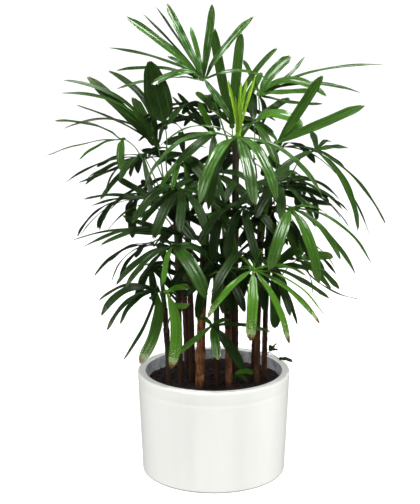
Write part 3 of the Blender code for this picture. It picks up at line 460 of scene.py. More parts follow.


# Satin white outside, with very faint upright streaks and a thin grey line at the foot, which is a painted
# contact shadow; painted shade on the inner wall, mottled dark grey, which is all that lies nearer to the
# axis than the mouth's radius.
def potMaterial():
    material, tree, shader = newMaterial("potWhite", Coat_Weight=0.15, Coat_Roughness=0.25)
    streaks = noiseOf(tree, stretched(tree, 0.05), 38.0, 3.0)
    cloud = noiseOf(tree, stretched(tree), 9.0, 2.0)
    tint = sumOf(tree, "MULTIPLY_ADD", streaks, 0.6, sumOf(tree, "MULTIPLY", cloud, 0.4))
    outside = mixOf(tree, rangeOf(tree, tint, 0.35, 0.65), potFinish["white"], potFinish["cool"])
    mottle = noiseOf(tree, stretched(tree, 0.7), 75.0, 5.0, 0.7)
    # Painted shade: the inner wall is painted a mottled dark grey.
    inside = mixOf(tree, rangeOf(tree, mottle, 0.34, 0.66), potFinish["insideShade"], potFinish["insideShadePale"])
    radius = nodeOf(tree, "VectorMath", {0: stretched(tree, 0)}, operation="LENGTH").outputs["Value"]
    wavering = sumOf(tree, "MULTIPLY_ADD", mottle, 0.002, radius)
    isInside = rangeOf(tree, wavering, *potFinish["mouth"], 1.0, 0.0)
    colour = mixOf(tree, isInside, outside, inside)
    height = nodeOf(tree, "SeparateXYZ", {0: nodeOf(tree, "TexCoord").outputs["Object"]}).outputs["Z"]
    # Painted contact shadow: a thin grey line round the foot.
    line = rangeOf(tree, height, *potFinish["footShadowHeight"], potFinish["footShadowShare"], 0.0)
    colour = mixOf(tree, line, colour, potFinish["footShadow"])
    roughness = rangeOf(tree, isInside, 0.0, 1.0, *potFinish["roughness"], smooth=False)
    insideBumps = sumOf(tree, "MULTIPLY", sumOf(tree, "MULTIPLY", mottle, isInside), 1.2)
    relief = sumOf(tree, "MULTIPLY_ADD", streaks, 0.5, insideBumps)
    finishWith(tree, shader, colour, roughness, relief, potFinish["bump"])
    return material


finishes = {
    "leaf": leafMaterial("leafGreen", leafFinish["greens"]),
    "young": leafMaterial("leafLime", leafFinish["limes"]),
    "stalk": stalkMaterial(),
    "cane": caneMaterial("caneFibre"),
    "fibre": caneMaterial("looseFibre"),
    "soil": soilMaterial(),
    "bark": barkMaterial(),
    "pot": potMaterial(),
}
print("materials ready:", len(finishes))


hubForm = {
    "rise": 0.0012,  # how far the solid hub's top and underside stand off its centre along the facing
    "drop": 0.0030,
    "radius": 0.0066,
    "thickness": 0.0021,
    "rows": 8,
    "columns": 14,
    "rootShare": 0.35,  # where the leaflets start, between the hub's centre and its edge
}
weldSize = 1e-5  # corners of a solid nearer than this are one
ringSlack = 2e-4  # how far from level the corners of a cane's ring may lie
bladeStations = np.array((0.0, 0.22, 0.50, 0.84, 1.0))  # where the solid's sections stand along a leaflet


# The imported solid's corners and triangles, each corner counted once.
def weldedMesh(name):
    mesh = frame["nodes"][name].data
    corners = np.empty(3 * len(mesh.vertices), np.float32)
    mesh.vertices.foreach_get("co", corners)
    ends = np.empty(len(mesh.loops), np.int32)
    mesh.loops.foreach_get("vertex_index", ends)
    corners = corners.reshape(-1, 3).astype(float)
    keys = np.round(corners / weldSize).astype(np.int64)
    _, first, welded = np.unique(keys, axis=0, return_index=True, return_inverse=True)
    return corners[first], welded.reshape(-1)[ends].reshape(-1, 3)


# A frond's skeleton. Three edges of each root meet at the hub's underside and two at its top; the ring round
# them holds the roots, and the points one, two, three ... edges further out are the sections of the stalk
# and the leaflets. The run with the most sections is the stalk, and the leaflets are sorted round the hub.
def frondSkeleton(name):
    points, triangles = weldedMesh(name)
    near = np.zeros((len(points), len(points)), bool)
    for one, other in ((0, 1), (1, 2), (2, 0)):
        near[triangles[:, one], triangles[:, other]] = True
        near[triangles[:, other], triangles[:, one]] = True
    edges = near.sum(1)
    for under in np.argsort(-edges, kind="stable"):
        away = np.linalg.norm(points - points[under], axis=1) - hubForm["rise"] - hubForm["drop"]
        within = ~(near & ~near[under]).any(1) & ~near[under] & (np.abs(away) < 10 * weldSize)
        over = np.flatnonzero(within & (3 * edges == 2 * edges[under]))
        if len(over):
            break
    over = int(over[0])
    roots = near[under].copy()
    layer = np.full(len(points), -1)
    layer[roots] = 0
    reached = roots.copy()
    reached[[under, over]] = True
    while not reached.all():
        fresh = near[reached & (layer == layer.max())].any(0) & ~reached
        layer[fresh] = layer.max() + 1
        reached |= fresh
    outer = layer > 0
    label = np.where(outer, np.arange(len(points)), 0)
    joined = near & outer & outer[:, None]
    for _ in range(int(layer.max()) + 2):
        label = np.where(outer, np.maximum(label, (joined * label).max(1)), 0)
    label[roots] = (near[roots] * label).max(1)
    runs = []
    for mark in np.unique(label[outer]):
        member = label == mark
        sections = [np.flatnonzero(member & (layer == k)) for k in range(int(layer[member].max()) + 1)]
        runs.append(sectionsOf(points, sections, ~near[over]))
    runs.sort(key=lambda run: len(run["middle"]))
    stalk, blades = runs[-1], runs[:-1]
    facing = unitOf(points[over] - points[under])
    side = unitOf(np.cross(facing, stalk["middle"][0] - points[over]))
    front = np.cross(side, facing)
    hub = points[over] - facing * hubForm["rise"]
    blades.sort(key=lambda run: math.atan2((run["middle"][0] - hub) @ side, (run["middle"][0] - hub) @ front))
    return hub, facing, stalk, blades


# Middle, upward direction and width of each three-cornered section. The two corners furthest apart are its
# edges; at the root the keel is the corner that the hub's top doesn't touch.
def sectionsOf(points, sections, offTop):
    corners = np.array([points[section] for section in sections])
    facingSides = np.roll(corners, -1, axis=1) - np.roll(corners, -2, axis=1)
    keel = np.linalg.norm(facingSides, axis=2).argmax(1)
    keel[0] = int(np.flatnonzero(offTop[sections[0]])[0])
    rows = np.arange(len(corners))
    one, other = corners[rows, (keel + 1) % 3], corners[rows, (keel + 2) % 3]
    middle = (one + other) / 2
    return {
        "middle": middle,
        "above": unitOf(middle - corners[rows, keel]),
        "width": np.linalg.norm(one - other, axis=1),
        "centre": corners.mean(1),
    }


# A cane's own line: the middle of each ring of points at one height, and the straight taper through the
# radii of every second ring, which are the foot and the wide joints.
def caneSkeleton(name):
    points, _ = weldedMesh(name)
    heights = np.unique(np.round(points[:, 2], 4))
    rings = [points[np.abs(points[:, 2] - height) < ringSlack] for height in heights]
    middle = np.array([ring.mean(0) for ring in rings])
    radius = np.array([np.linalg.norm(ring - ring.mean(0), axis=1).mean() for ring in rings])
    return {"heights": heights, "middle": middle, "taper": np.polyfit(heights[1::2], radius[1::2], 1)}


# Middle and plain radius of a cane at a height: straight lines between the rings' middles, and the taper.
def canePlace(cane, height):
    height = np.asarray(height, float)
    x, y = (np.interp(height, cane["heights"], cane["middle"][:, axis]) for axis in (0, 1))
    radius = np.polyval(cane["taper"], np.clip(height, cane["heights"][1], cane["heights"][-1]))
    return np.stack([x, y, height], -1), radius


# The view that the camera has, and its picture's size in pixels.
view = {
    "eye": (-0.009, -2.70, 1.12),
    "pitchDegrees": 12.4,
    "focalPixels": 1192.0,
    "width": 420.0,
    "height": 504.0,
}


# Where the camera sees a point: its offsets from the eye, turned by the pitch and divided by the depth.
def picturePlace(point):
    pitch = math.radians(view["pitchDegrees"])
    x, y, z = point - np.array(view["eye"])
    depth = y * math.cos(pitch) - z * math.sin(pitch)
    up = y * math.sin(pitch) + z * math.cos(pitch)
    focal = view["focalPixels"]
    return view["width"] / 2 + focal * x / depth, view["height"] / 2 - focal * up / depth


# The point y metres behind the pot's middle that the camera sees at a place of the picture.
def pointSeen(u, v, y):
    pitch = math.radians(view["pitchDegrees"])
    right = (u - view["width"] / 2) / view["focalPixels"]
    up = (view["height"] / 2 - v) / view["focalPixels"]
    ray = np.array((right, math.cos(pitch) + up * math.sin(pitch), up * math.cos(pitch) - math.sin(pitch)))
    eye = np.array(view["eye"])
    return eye + ray * (y - eye[1]) / ray[1]


bladeForm = {
    "finish": "leaf",
    "rows": 30,
    "crowding": 0.06,  # how far the rows draw together in the middle
    "across": 13,  # points across the top
    "thickness": 0.00045,
    "rootThickness": 0.0014,
    "thinning": (0.45, 0.6),  # shares that the edge is thinner than the middle, on the blade and at the root
    "fold": 0.16,  # height of the V as a share of half the width
    "foldCurve": 1.4,
    "pleat": 0.055,  # height of a pleat, likewise
    "pleats": 1.5,  # on each half
    "wave": 0.0009,
    "waveCount": 2.4,
    "twist": 0.22,
    "tooth": 0.030,  # shares of the length by which the tip is cut back
    "teeth": 1.5,
    "slant": 0.035,
    "shoulder": 0.02,
    "toothedFrom": 0.80,
    "sway": 0.0022,
    "close": 0.0,  # how far each half is folded up, in radians
    "breadth": 1.0,
    "outline": (  # a station along the leaflet, then its width as shares of the solid's five widths
        (0.00, 2.00, 0.00, 0.00, 0.00, 0.00),
        (0.06, 3.20, 0.00, 0.00, 0.00, 0.00),
        (0.22, 0.00, 0.96, 0.00, 0.00, 0.00),
        (0.50, 0.00, 0.00, 1.00, 0.00, 0.00),
        (0.84, 0.00, 0.00, 0.00, 1.06, 0.00),
        (0.94, 0.00, 0.00, 0.00, 0.78, 0.20),
        (1.00, 0.00, 0.00, 0.00, 0.36, 0.20),
    ),
}
crownForm = dict(bladeForm, pleat=0.016, fold=0.26)
broadForm = dict(bladeForm, across=41, pleat=0.030, fold=0.10, tooth=0.012, pleats=5.0, wave=0.0014, sway=0.0)
frondForms = {
    "frond_crown": crownForm,
    "frond_back_high": crownForm,
    "frond_back_fan": crownForm,
    "frond_young": dict(bladeForm, finish="young", pleat=0.020, close=0.72, breadth=1.2),
    "frond_right_low": dict(bladeForm, breadth=0.86),
    "leaf_broad": broadForm,
}


# A leaflet's middle line. Its outer part is the parabola through the solid's sections; its first part
# is the cubic that swings out of the hub and meets the parabola at the first section.
def bladeLine(blade, hub):
    outer = bladeStations[1:]
    powers = np.stack([outer**0, outer, outer**2], 1)
    parabola = np.linalg.lstsq(powers, blade["middle"][1:], rcond=None)[0]
    joint = bladeStations[1]
    start = hub + hubForm["rootShare"] * (blade["middle"][0] - hub)
    end = parabola[0] + parabola[1] * joint + parabola[2] * joint**2
    leave = unitOf(blade["middle"][0] - hub) * np.linalg.norm(end - start)
    arrive = (parabola[1] + 2 * parabola[2] * joint) * joint

    def line(t):
        t = np.asarray(t)[..., None]
        swing = cubicBetween(start, leave, end, arrive, np.clip(t / joint, 0, 1))
        return np.where(t < joint, swing, parabola[0] + parabola[1] * t + parabola[2] * t * t)

    return line


# A leaflet: a closed skin carried along its middle line, over the top from edge to edge and back underneath.
# Its height is a shallow V, plus pleats, plus a slow wave of the edges. Its outline follows the widths of the
# solid, and near the tip each column stops at its own length, which gives blunt and toothed ends.
def bladePart(blade, hub, form, draw, tone, wear, sheen):
    columns = form["across"]
    t = np.linspace(0, 1, form["rows"])
    t = t + form["crowding"] * np.sin(2 * math.pi * t)
    s = np.linspace(-1, 1, columns)
    line = bladeLine(blade, hub)
    teeth = 0.5 + 0.5 * np.cos(2 * math.pi * (form["teeth"] * s + draw.random()))
    cut = form["tooth"] * teeth * draw.uniform(0.5, 1.3)
    cut += form["slant"] * s * draw.uniform(-1, 1) + form["shoulder"] * np.abs(s) ** 3
    reach = t[:, None] * (1 - np.maximum(cut, 0) * smoothStep(t, form["toothedFrom"], 1.0)[:, None])
    slope = unitOf(np.gradient(line(t), axis=0))
    above = unitOf(smoothThrough(bladeStations, blade["above"], t))
    side = unitOf(np.cross(slope, above))
    turn = (form["twist"] * draw.uniform(-1, 1) * t**2)[:, None]
    up = np.cross(side, slope)
    side, up = np.cos(turn) * side + np.sin(turn) * up, np.cos(turn) * up - np.sin(turn) * side
    outline = np.array(form["outline"])
    width = smoothThrough(outline[:, 0], outline[:, 1:] @ blade["width"], t, steady=True)
    half = form["breadth"] * width[:, None] / 2
    grown = smoothStep(t, 0.0, 0.25)[:, None]
    vee = form["fold"] * np.abs(s) ** form["foldCurve"]
    height = grown * half * (vee + form["pleat"] * np.cos(2 * math.pi * form["pleats"] * s))
    phase = draw.uniform(0, 2 * math.pi, 2)
    waving = np.sin(2 * math.pi * form["waveCount"] * t[:, None] + np.where(s > 0, phase[0], phase[1]))
    height = height + grown * form["wave"] * s**2 * waving
    height = height + grown * half * np.abs(s) * math.sin(form["close"])
    sway = form["sway"] * np.sin(math.pi * t)[:, None] * draw.uniform(-1, 1)
    bladeThinning, rootThinning = form["thinning"]
    thick = form["thickness"] * (1 - bladeThinning * s**2)
    thick = thick + form["rootThickness"] * (1 - grown) * (1 - rootThinning * s**2)
    place = line(reach) + side[:, None] * (half * s * math.cos(form["close"]) + sway)[..., None]
    upper = place + up[:, None] * (height + thick / 2)[..., None]
    lower = place + up[:, None] * (height - thick / 2)[..., None]
    rings = np.concatenate([lower, upper[:, ::-1]], axis=1)
    ends = np.arange(columns - 1)
    cap = np.stack([ends, ends + 1, 2 * columns - 2 - ends, 2 * columns - 1 - ends], 1)
    faces = [gridQuads(len(t), 2 * columns), cap[:, ::-1], cap + (len(t) - 1) * 2 * columns]
    values = {
        "along": np.concatenate([reach, reach[:, ::-1]], axis=1).ravel(),
        "across": np.tile(np.concatenate([s, s[::-1]]), len(t)),
        "under": np.tile(np.arange(2 * columns) < columns, len(t)),
    }
    return partOf(rings.reshape(-1, 3), faces, form["finish"], **values, tone=tone, wear=wear, sheen=sheen)


# The hub: a small flattened button, as rings of an ellipsoid about the frond's facing.
def hubPart(hub, facing, finish, tone):
    first = unitOf(np.cross(facing, (0.3, 0.9, 0.2)))  # any direction that no hub faces
    second = np.cross(facing, first)
    highest = math.pi / 2 - 0.15
    tilt = np.linspace(-highest, highest, hubForm["rows"])[:, None, None]
    turn = anglesRound(hubForm["columns"])[None, :, None]
    flat = np.cos(tilt) * (np.cos(turn) * first + np.sin(turn) * second)
    rings = hub + hubForm["radius"] * flat + hubForm["thickness"] * np.sin(tilt) * facing
    return tubePart(rings, finish, along=0.05, across=0.3, under=0.0, tone=tone, wear=0.0)


stalkForm = {
    "rows": 26,
    "columns": 10,
    "radii": ((0, 0.0015), (0.3, 0.0016), (0.85, 0.0020), (1, 0.0034)),  # from the hub to the cane
    "channel": 0.22,
    "intoCane": 0.3,  # share of the last section's length that it runs on inside the cane
}


# A leaf stalk: a smooth line through the solid's sections, from inside the hub to inside the cane.
def stalkPart(stalk, hub):
    knots = np.vstack([hub, stalk["centre"]])
    knots = np.vstack([knots, knots[-1] + stalkForm["intoCane"] * (knots[-1] - knots[-2])])
    length = np.concatenate([[0], np.cumsum(np.linalg.norm(np.diff(knots, axis=0), axis=1))])
    share = np.linspace(0, 1, stalkForm["rows"])
    path = smoothThrough(length / length[-1], knots, share)
    places, sizes = zip(*stalkForm["radii"])
    radius = smoothThrough(places, sizes, share, steady=True)
    upward = (0.03, 0.05, 1.0)  # a little off Z, for stalks that stand upright
    rings = ringsAlong(path, radius, stalkForm["columns"], upward, stalkForm["channel"])
    return tubePart(rings, "stalk", along=np.repeat(share, stalkForm["columns"]))


sleeveForm = {
    "columns": 22,
    "below": 0.040,
    "above": 0.012,
    "thickness": 0.0012,
    "ragged": 0.0022,
    "profile": (  # thicknesses off the cane, share of the height, relief (where low, the material paints shade)
        (-0.0006, 0.00, 0.2),
        (0.4, 0.03, 0.5),
        (0.7, 0.50, 0.8),
        (1.0, 0.90, 1.0),
        (1.15, 1.00, 0.6),
        (-0.6, 0.97, 0.0),
    ),
}


# The leaf's fibrous sleeve round its cane: a profile from under the stalk up to a ragged lip, which stands
# highest on the stalk's side. It starts and ends inside the cane, so it is closed by the cane.
def sleevePart(seat, canes, draw):
    cane = min(canes.values(), key=lambda c: np.linalg.norm(canePlace(c, seat[2])[0][:2] - seat[:2]))
    turn = anglesRound(sleeveForm["columns"])
    middle, _ = canePlace(cane, seat[2])
    heading = math.atan2(seat[1] - middle[1], seat[0] - middle[0])
    facingStalk = 0.5 + 0.5 * np.cos(turn - heading)
    ragged = np.sin(5 * turn + draw.uniform(0, 6)) + 0.6 * np.sin(9 * turn + draw.uniform(0, 6))
    top = sleeveForm["above"] * facingStalk**2 + sleeveForm["ragged"] * ragged
    rings = []
    for out, share, _ in sleeveForm["profile"]:
        height = seat[2] - sleeveForm["below"] + share * (sleeveForm["below"] + top)
        line, thick = canePlace(cane, height)
        wide = thick + out * sleeveForm["thickness"] * (1 + 0.6 * facingStalk * share)
        rings.append(line + roundAxis(wide, turn))
    relief = np.repeat([relief for _, _, relief in sleeveForm["profile"]], len(turn))
    return tubePart(np.array(rings), "fibre", relief=relief, tone=0.5)


# Each frond's tone (0 dark to 1 yellow-green), how far its leaflets stray from it, the wear of its tips and
# the weight of its coat, which also sets how much highlight is painted on its leaflets. The tone is partly
# the leaves' own colour and partly painted shade: the fronds deep in the plant are darkened in colour for the
# shadow they lie in.
frondLooks = {
    "frond_crown": (0.43, 0.06, 0.1, 1.0),
    "frond_upright": (0.40, 0.08, 0.0, 0.2),
    "frond_young": (0.85, 0.12, 0.0, 0.3),
    "frond_centre": (0.43, 0.06, 0.15, 0.7),
    "leaf_broad": (0.23, 0.03, 0.0, 0.1),
    "frond_left_high": (0.22, 0.08, 0.1, 0.08),
    "frond_left_arch": (0.34, 0.10, 0.1, 0.1),
    "frond_left_mid": (0.22, 0.10, 0.1, 0.1),
    "frond_left_dark": (0.10, 0.07, 0.0, 0.03),
    "frond_left_strap": (0.18, 0.08, 0.1, 0.1),
    "frond_left_low": (0.16, 0.08, 0.1, 0.06),
    "frond_left_foot": (0.18, 0.08, 0.3, 0.08),
    "frond_front_bright": (0.62, 0.10, 0.6, 0.3),
    "frond_front_low": (0.42, 0.10, 0.1, 0.2),
    "frond_right_low": (0.73, 0.06, 1.0, 0.2),
    "frond_right_mid": (0.43, 0.10, 0.1, 0.35),
    "frond_right_high": (0.26, 0.10, 0.1, 0.1),
    "frond_right_strap": (0.44, 0.06, 0.0, 0.1),
    "frond_back_high": (0.38, 0.12, 0.0, 0.3),
    "frond_back_fan": (0.36, 0.12, 0.0, 0.1),
    "frond_right_dark": (0.18, 0.08, 0.0, 0.1),
    "frond_right_foot": (0.42, 0.12, 0.1, 0.2),
    "frond_right_core": (0.30, 0.08, 0.0, 0.1),
    "frond_left_core": (0.13, 0.08, 0.0, 0.03),
    "frond_centre_dark": (0.18, 0.08, 0.0, 0.1),
    "frond_core_low": (0.26, 0.10, 0.0, 0.1),
    "frond_core_high": (0.20, 0.08, 0.0, 0.05),
    "frond_core_left": (0.15, 0.10, 0.0, 0.03),
}
# The fronds inside the plant, darkened as painted shade.
otherLooks = (0.15, 0.10, 0.0, 0.03)

# Leaflets that differ from their frond: the tip's place in the picture, then the tone, wear and coat. Some
# tones are painted light: the crown's darkest leaflets carry painted shade and its brightest a painted
# highlight.
leafletLooks = {
    "frond_front_low": (
        ((217, 360), 0.50, 0.1, 0.3),
        ((243, 370), 0.18, 0, 0.1),
        ((176, 355), 0.52, 0.1, 0.3),
    ),
    "frond_left_foot": (((139, 364), 0.60, 0.8, 0.5), ((101, 316), 0.14, 0.1, 0.1)),
    "frond_front_bright": (
        ((170, 369), 0.72, 0.9, 0.5),
        ((190, 304), 0.70, 0, 0.2),
        ((184, 322), 0.20, 0, 0.1),
    ),
    "frond_left_low": (((207, 298), 0.34, 0, 0.2), ((163, 286), 0.52, 0, 0.1), ((214, 268), 0.26, 0, 0.1)),
    "frond_centre_dark": (((236, 263), 0.36, 0, 0.3), ((204, 226), 0.72, 0, 0.2)),
    "frond_right_dark": (((260, 232), 0.78, 0, 0.2), ((284, 214), 0.34, 0, 0.1)),
    "frond_centre": (((226, 199), 0.44, 0, 0.2), ((209, 210), 0.30, 0, 0.1)),
    "frond_core_high": (((198, 102), 0.62, 0, 0.1),),
    "frond_core_left": (((160, 188), 0.56, 0, 0.1), ((172, 192), 0.56, 0, 0.1), ((190, 197), 0.60, 0, 0.1)),
    "frond_back_fan": (((303, 128), 0.62, 0, 0.5), ((252, 92), 0.10, 0, 0.1)),
    "frond_left_high": (((63, 80), 0.36, 0, 0.3), ((61, 93), 0.34, 0, 0.2)),
    "frond_crown": (
        ((142, 13), 0.14, 0, 0),
        ((157, 7), 0.14, 0, 0),
        ((110, 48), 0.26, 0, 0),
        ((116, 72), 0.34, 0, 0.1),
        ((126, 17), 0.46, 0, 0.55),
        ((211, 4), 0.54, 0.1, 1.0),
        ((251, 17), 0.54, 0.1, 1.0),
    ),
    "frond_right_low": (
        ((245, 337), 0.72, 1.0, 0.25),
        ((279, 344), 0.72, 1.0, 0.25),
        ((318, 323), 0.64, 1.0, 0.2),
    ),
}


# A frond: its hub, stalk, sleeve and leaflets as one piece. Each leaflet strays from the frond's tone by its
# own draw, unless the table gives it a look of its own.
def makeFrond(name, canes, seed):
    draw = np.random.default_rng(seed)
    hub, facing, stalk, blades = frondSkeleton(name)
    tone, stray, wear, sheen = frondLooks.get(name, otherLooks)
    form = frondForms.get(name, bladeForm)
    leaf = form["finish"]
    parts = [
        hubPart(hub, facing, leaf, tone),
        stalkPart(stalk, hub),
        sleevePart(stalk["centre"][-1], canes, draw),
    ]
    tips = np.array([picturePlace(blade["middle"][-1]) for blade in blades])
    looks = leafletLooks.get(name, ())
    special = {int(np.linalg.norm(tips - at, axis=1).argmin()): look for at, *look in looks}
    for number, blade in enumerate(blades):
        own = (tone + stray * draw.uniform(-1, 1), wear * draw.random() ** 0.5, sheen)
        parts.append(bladePart(blade, hub, form, draw, *special.get(number, own)))
    makePiece(name + "_full", parts, (leaf, "stalk", "fibre"), [name])
    return len(blades)


shootForm = {
    "stalkRadius": 0.0010,
    "stalkArch": 0.012,
    "leafArch": 0.6,  # as a share of the leaf's length
    "leafWidths": (0.3, 0.8, 1.0, 0.7, 0.15),
    "rootStation": 0.04,  # where the leaf starts, off the stalk's end
    "sheen": 0.2,
    # Foot, top and leaf tips of each shoot: places in the picture and the distance behind the pot's middle.
    # Each leaf also has its width and tone.
    "feet": ((264, 362, -0.006), (266, 352, -0.006), (234, 380, -0.016)),
    "tops": ((270, 351, -0.020), (279, 359, -0.020), (235, 375, -0.016)),
    "leaves": (
        ((271, 345, -0.02, 0.009, 0.2), (277, 344, -0.03, 0.008, 0.3), (278, 350, -0.02, 0.007, 0.1)),
        ((293, 362, -0.03, 0.011, 0.1),),
        ((254, 374, -0.030, 0.015, 0.62), (247, 381, -0.045, 0.010, 0.40), (232, 384, -0.055, 0.009, 0.20)),
    ),
}


# Small shoots low in the pot: each a thin arched stalk and its leaves, which are leaflets with an arched
# middle line.
def makeShoots(seed):
    draw = np.random.default_rng(seed)
    parts = []
    share = np.linspace(0, 1, 8)[:, None]
    stations = np.clip(bladeStations, shootForm["rootStation"], 1)[:, None]
    for foot, top, leaves in zip(shootForm["feet"], shootForm["tops"], shootForm["leaves"]):
        foot, top = pointSeen(*foot), pointSeen(*top)
        path = foot + share * (top - foot) + share * (1 - share) * shootForm["stalkArch"] * upwards
        rings = ringsAlong(path, shootForm["stalkRadius"], 6, (0.3, 0.9, 0.1))
        parts.append(tubePart(rings, "stalk", along=0.3))
        for u, v, y, width, tone in leaves:
            way = pointSeen(u, v, y) - top
            arch = shootForm["leafArch"] * np.linalg.norm(way) * stations * (1 - stations) * upwards
            blade = {
                "middle": top + stations * way + arch,
                "above": np.tile((0, -0.6, 0.8), (len(stations), 1)),
                "width": width * np.array(shootForm["leafWidths"]),
            }
            parts.append(bladePart(blade, top, bladeForm, draw, tone, 0.0, shootForm["sheen"]))
    makePiece("shoots", parts, ("leaf", "stalk"), [])


caneForm = {
    # Each cane's tone: below 1 it is painted shade, for canes that lie in the leaves' shadow.
    "shadeTones": {
        "cane_front_left": 1.0,
        "cane_front_right": 0.48,
        "cane_right_inner": 0.16,
        "cane_right_outer": 0.32,
    },
    "shadedTone": 0.04,
    "columns": 36,
    "rowStep": 0.0022,
    "jointStep": 0.0275,
    "lip": 0.0011,  # how far a sheath's upper edge stands over the next one
    "ragged": 0.005,
    "weave": 0.00026,
    "scar": 0.0006,
    "soilShade": (0.218, 0.250),  # heights over which the painted shade at the foot, by the soil, fades out
    "freshShare": 0.9,
    "freshBelow": (0.26, 0.12),  # distances under the top where the green starts and is full
    "fibres": 60,
    "fibresFrom": 0.222,  # height over the floor, just above the soil
    "fibresBelow": 0.01,  # distance under the cane's top
    "fibreRadius": 0.00022,
    "fibreLength": (0.008, 0.034),
    "fibreLean": (0.05, 0.45),
    "fibreSlant": (-0.5, 0.5),
}


# A cane: its height and angle give a radius, which is the cane's taper, plus sheaths that thicken upwards and
# end in a ragged lip, plus slanting strands that cross each other.
def canePart(cane, draw, tone):
    low, high = cane["heights"][0], cane["heights"][-1]
    z = np.linspace(low, high, int((high - low) / caneForm["rowStep"]))[:, None]
    turn = anglesRound(caneForm["columns"])[None]
    waves = draw.uniform(0, 2 * math.pi, 6)
    edge = np.sin(3 * turn + waves[0]) + 0.7 * np.sin(7 * turn + waves[1]) + 0.5 * np.sin(11 * turn)
    climb = (z - low + caneForm["ragged"] * edge) / caneForm["jointStep"] + waves[2]
    share = climb - np.floor(climb)
    lip = caneForm["lip"] * (0.25 + 0.75 * share**2) * smoothStep(share, 0.0, 0.08)
    strands = np.sin(9 * turn + 620 * z + waves[3]) * np.sin(8 * turn - 540 * z + waves[4])
    strands = strands + 0.7 * np.sin(13 * turn + 45 * z + waves[5])
    middle, radius = canePlace(cane, z[:, 0])
    closing = np.sqrt(np.clip((high - z) / (2.2 * radius.min()), 0.02, 1))  # rounds the top
    wide = (radius[:, None] + lip - caneForm["scar"] + caneForm["weave"] * strands) * closing
    # Relief is low just over each lip and near the soil, where the material paints shade.
    relief = np.clip(0.15 + 0.75 * share + 0.15 * strands, 0, 1) * smoothStep(z, *caneForm["soilShade"])
    freshStart, freshFull = (high - below for below in caneForm["freshBelow"])
    fresh = caneForm["freshShare"] * smoothStep(z, freshStart, freshFull) + 0 * turn
    rings = middle[:, None] + roundAxis(wide, turn)
    return tubePart(rings, "cane", relief=relief.ravel(), tone=tone, fresh=fresh.ravel())


# Loose fibres: thin tapering strands that leave the cane, mostly upwards, and curl away from it.
def fibreParts(cane, draw):
    parts = []
    share = np.linspace(0, 1, 6)[:, None]
    highest = cane["heights"][-1] - caneForm["fibresBelow"]
    spreads = [(caneForm["fibresFrom"], highest), (0, 2 * math.pi)]
    spreads += [caneForm[key] for key in ("fibreLength", "fibreLean", "fibreSlant")]
    drawn = [draw.uniform(*spread, caneForm["fibres"]) for spread in spreads]
    for height, turn, length, lean, slant in zip(*drawn):
        middle, radius = canePlace(cane, height)
        out = np.array((math.cos(turn), math.sin(turn), 0.0))
        aside = np.array((-math.sin(turn), math.cos(turn), 0.0))
        path = middle + out * (radius - 0.0004) + share * length * upwards
        path = path + out * lean * length * share**1.8 + aside * slant * length * share**1.4
        size = caneForm["fibreRadius"] * (1.0 - 0.75 * share[:, 0])
        parts.append(tubePart(ringsAlong(path, size, 3, out), "fibre", relief=0.6, tone=0.4))
    return parts


# A cane and its loose fibres as one piece.
def makeCane(name, cane, seed):
    draw = np.random.default_rng(seed)
    tone = caneForm["shadeTones"].get(name, caneForm["shadedTone"])
    parts = [canePart(cane, draw, tone), *fibreParts(cane, draw)]
    makePiece(name + "_full", parts, ("cane", "fibre"), [name])


potForm = {
    "columns": 176,
    "cuts": 2,
    "axisRadius": 0.0004,  # of the smallest rings, in the middle of the foot and of the floor
    "outline": (  # radius and height, from under the foot over the rim to the floor inside
        (0.0, 0.0), (0.120, 0.0), (0.164, 0.0), (0.1690, 0.0004), (0.1700, 0.0040), (0.1704, 0.020),
        (0.1725, 0.070), (0.1755, 0.140), (0.17815, 0.2000), (0.17835, 0.2060), (0.17815, 0.2100),
        (0.17810, 0.2125), (0.17830, 0.2150), (0.17880, 0.2190), (0.17925, 0.2240), (0.1798, 0.2330),
        (0.180, 0.2390), (0.1794, 0.2432), (0.1770, 0.245), (0.1690, 0.245), (0.1640, 0.2447),
        (0.1612, 0.2432), (0.1601, 0.2395), (0.1596, 0.2280), (0.1574, 0.1600), (0.1540, 0.0700),
        (0.1522, 0.0290), (0.1490, 0.0215), (0.1420, 0.0200), (0.080, 0.0200), (0.0, 0.0200),
    ),
}


# The pot: its outline, which is the solid's with every corner rounded by cutting it twice, turned about Z.
def makePot():
    outline = np.array(potForm["outline"])
    for _ in range(potForm["cuts"]):
        first = 0.75 * outline[:-1] + 0.25 * outline[1:]
        last = 0.25 * outline[:-1] + 0.75 * outline[1:]
        outline = np.concatenate([outline[:1], np.stack([first, last], 1).reshape(-1, 2), outline[-1:]])
    outline[0, 0] = outline[-1, 0] = potForm["axisRadius"]
    rings = roundAxis(outline[:, :1], anglesRound(potForm["columns"])) + outline[:, 1, None, None] * upwards
    makePiece("pot_full", [tubePart(rings, "pot")], ("pot",), ["pot"], creaseDegrees=60)


soilForm = {
    "level": 0.218,
    "rows": 54,
    "columns": 150,
    "edge": 0.1582,  # radius of the bed, a little inside the pot's wall
    "walls": ((0.002, 0.0205), (0.1435, 0.0205), (0.1515, 0.0295), (0.1550, 0.120), (0.1582, 0.2135)),
    "swell": 0.0022,
    "clods": 0.0016,
    "crumbs": 620,
    "crumbSize": (0.0012, 0.0034),
    "crumbReach": 0.153,
    "barkShare": 0.3,  # of the crumbs
    "chips": 110,
    "chipLength": (0.003, 0.008),
    "chipWidth": (0.0012, 0.0026),
    "chipReach": 0.150,
}


# Height of the bed: three slow waves, as in the solid, with finer lumps on them.
def soilHeight(x, y):
    slow = np.sin(41 * x + 0.6) * np.cos(37 * y) + 0.6 * np.sin(75 * y + 23 * x)
    slow = slow + 0.4 * np.cos(96 * x - 31 * y)
    lumps = np.sin(310 * x + 90 * y) * np.sin(270 * y - 120 * x)
    lumps = lumps + 0.6 * np.sin(520 * x - 260 * y) * np.sin(480 * y)
    return soilForm["level"] + soilForm["swell"] * slow + soilForm["clods"] * lumps


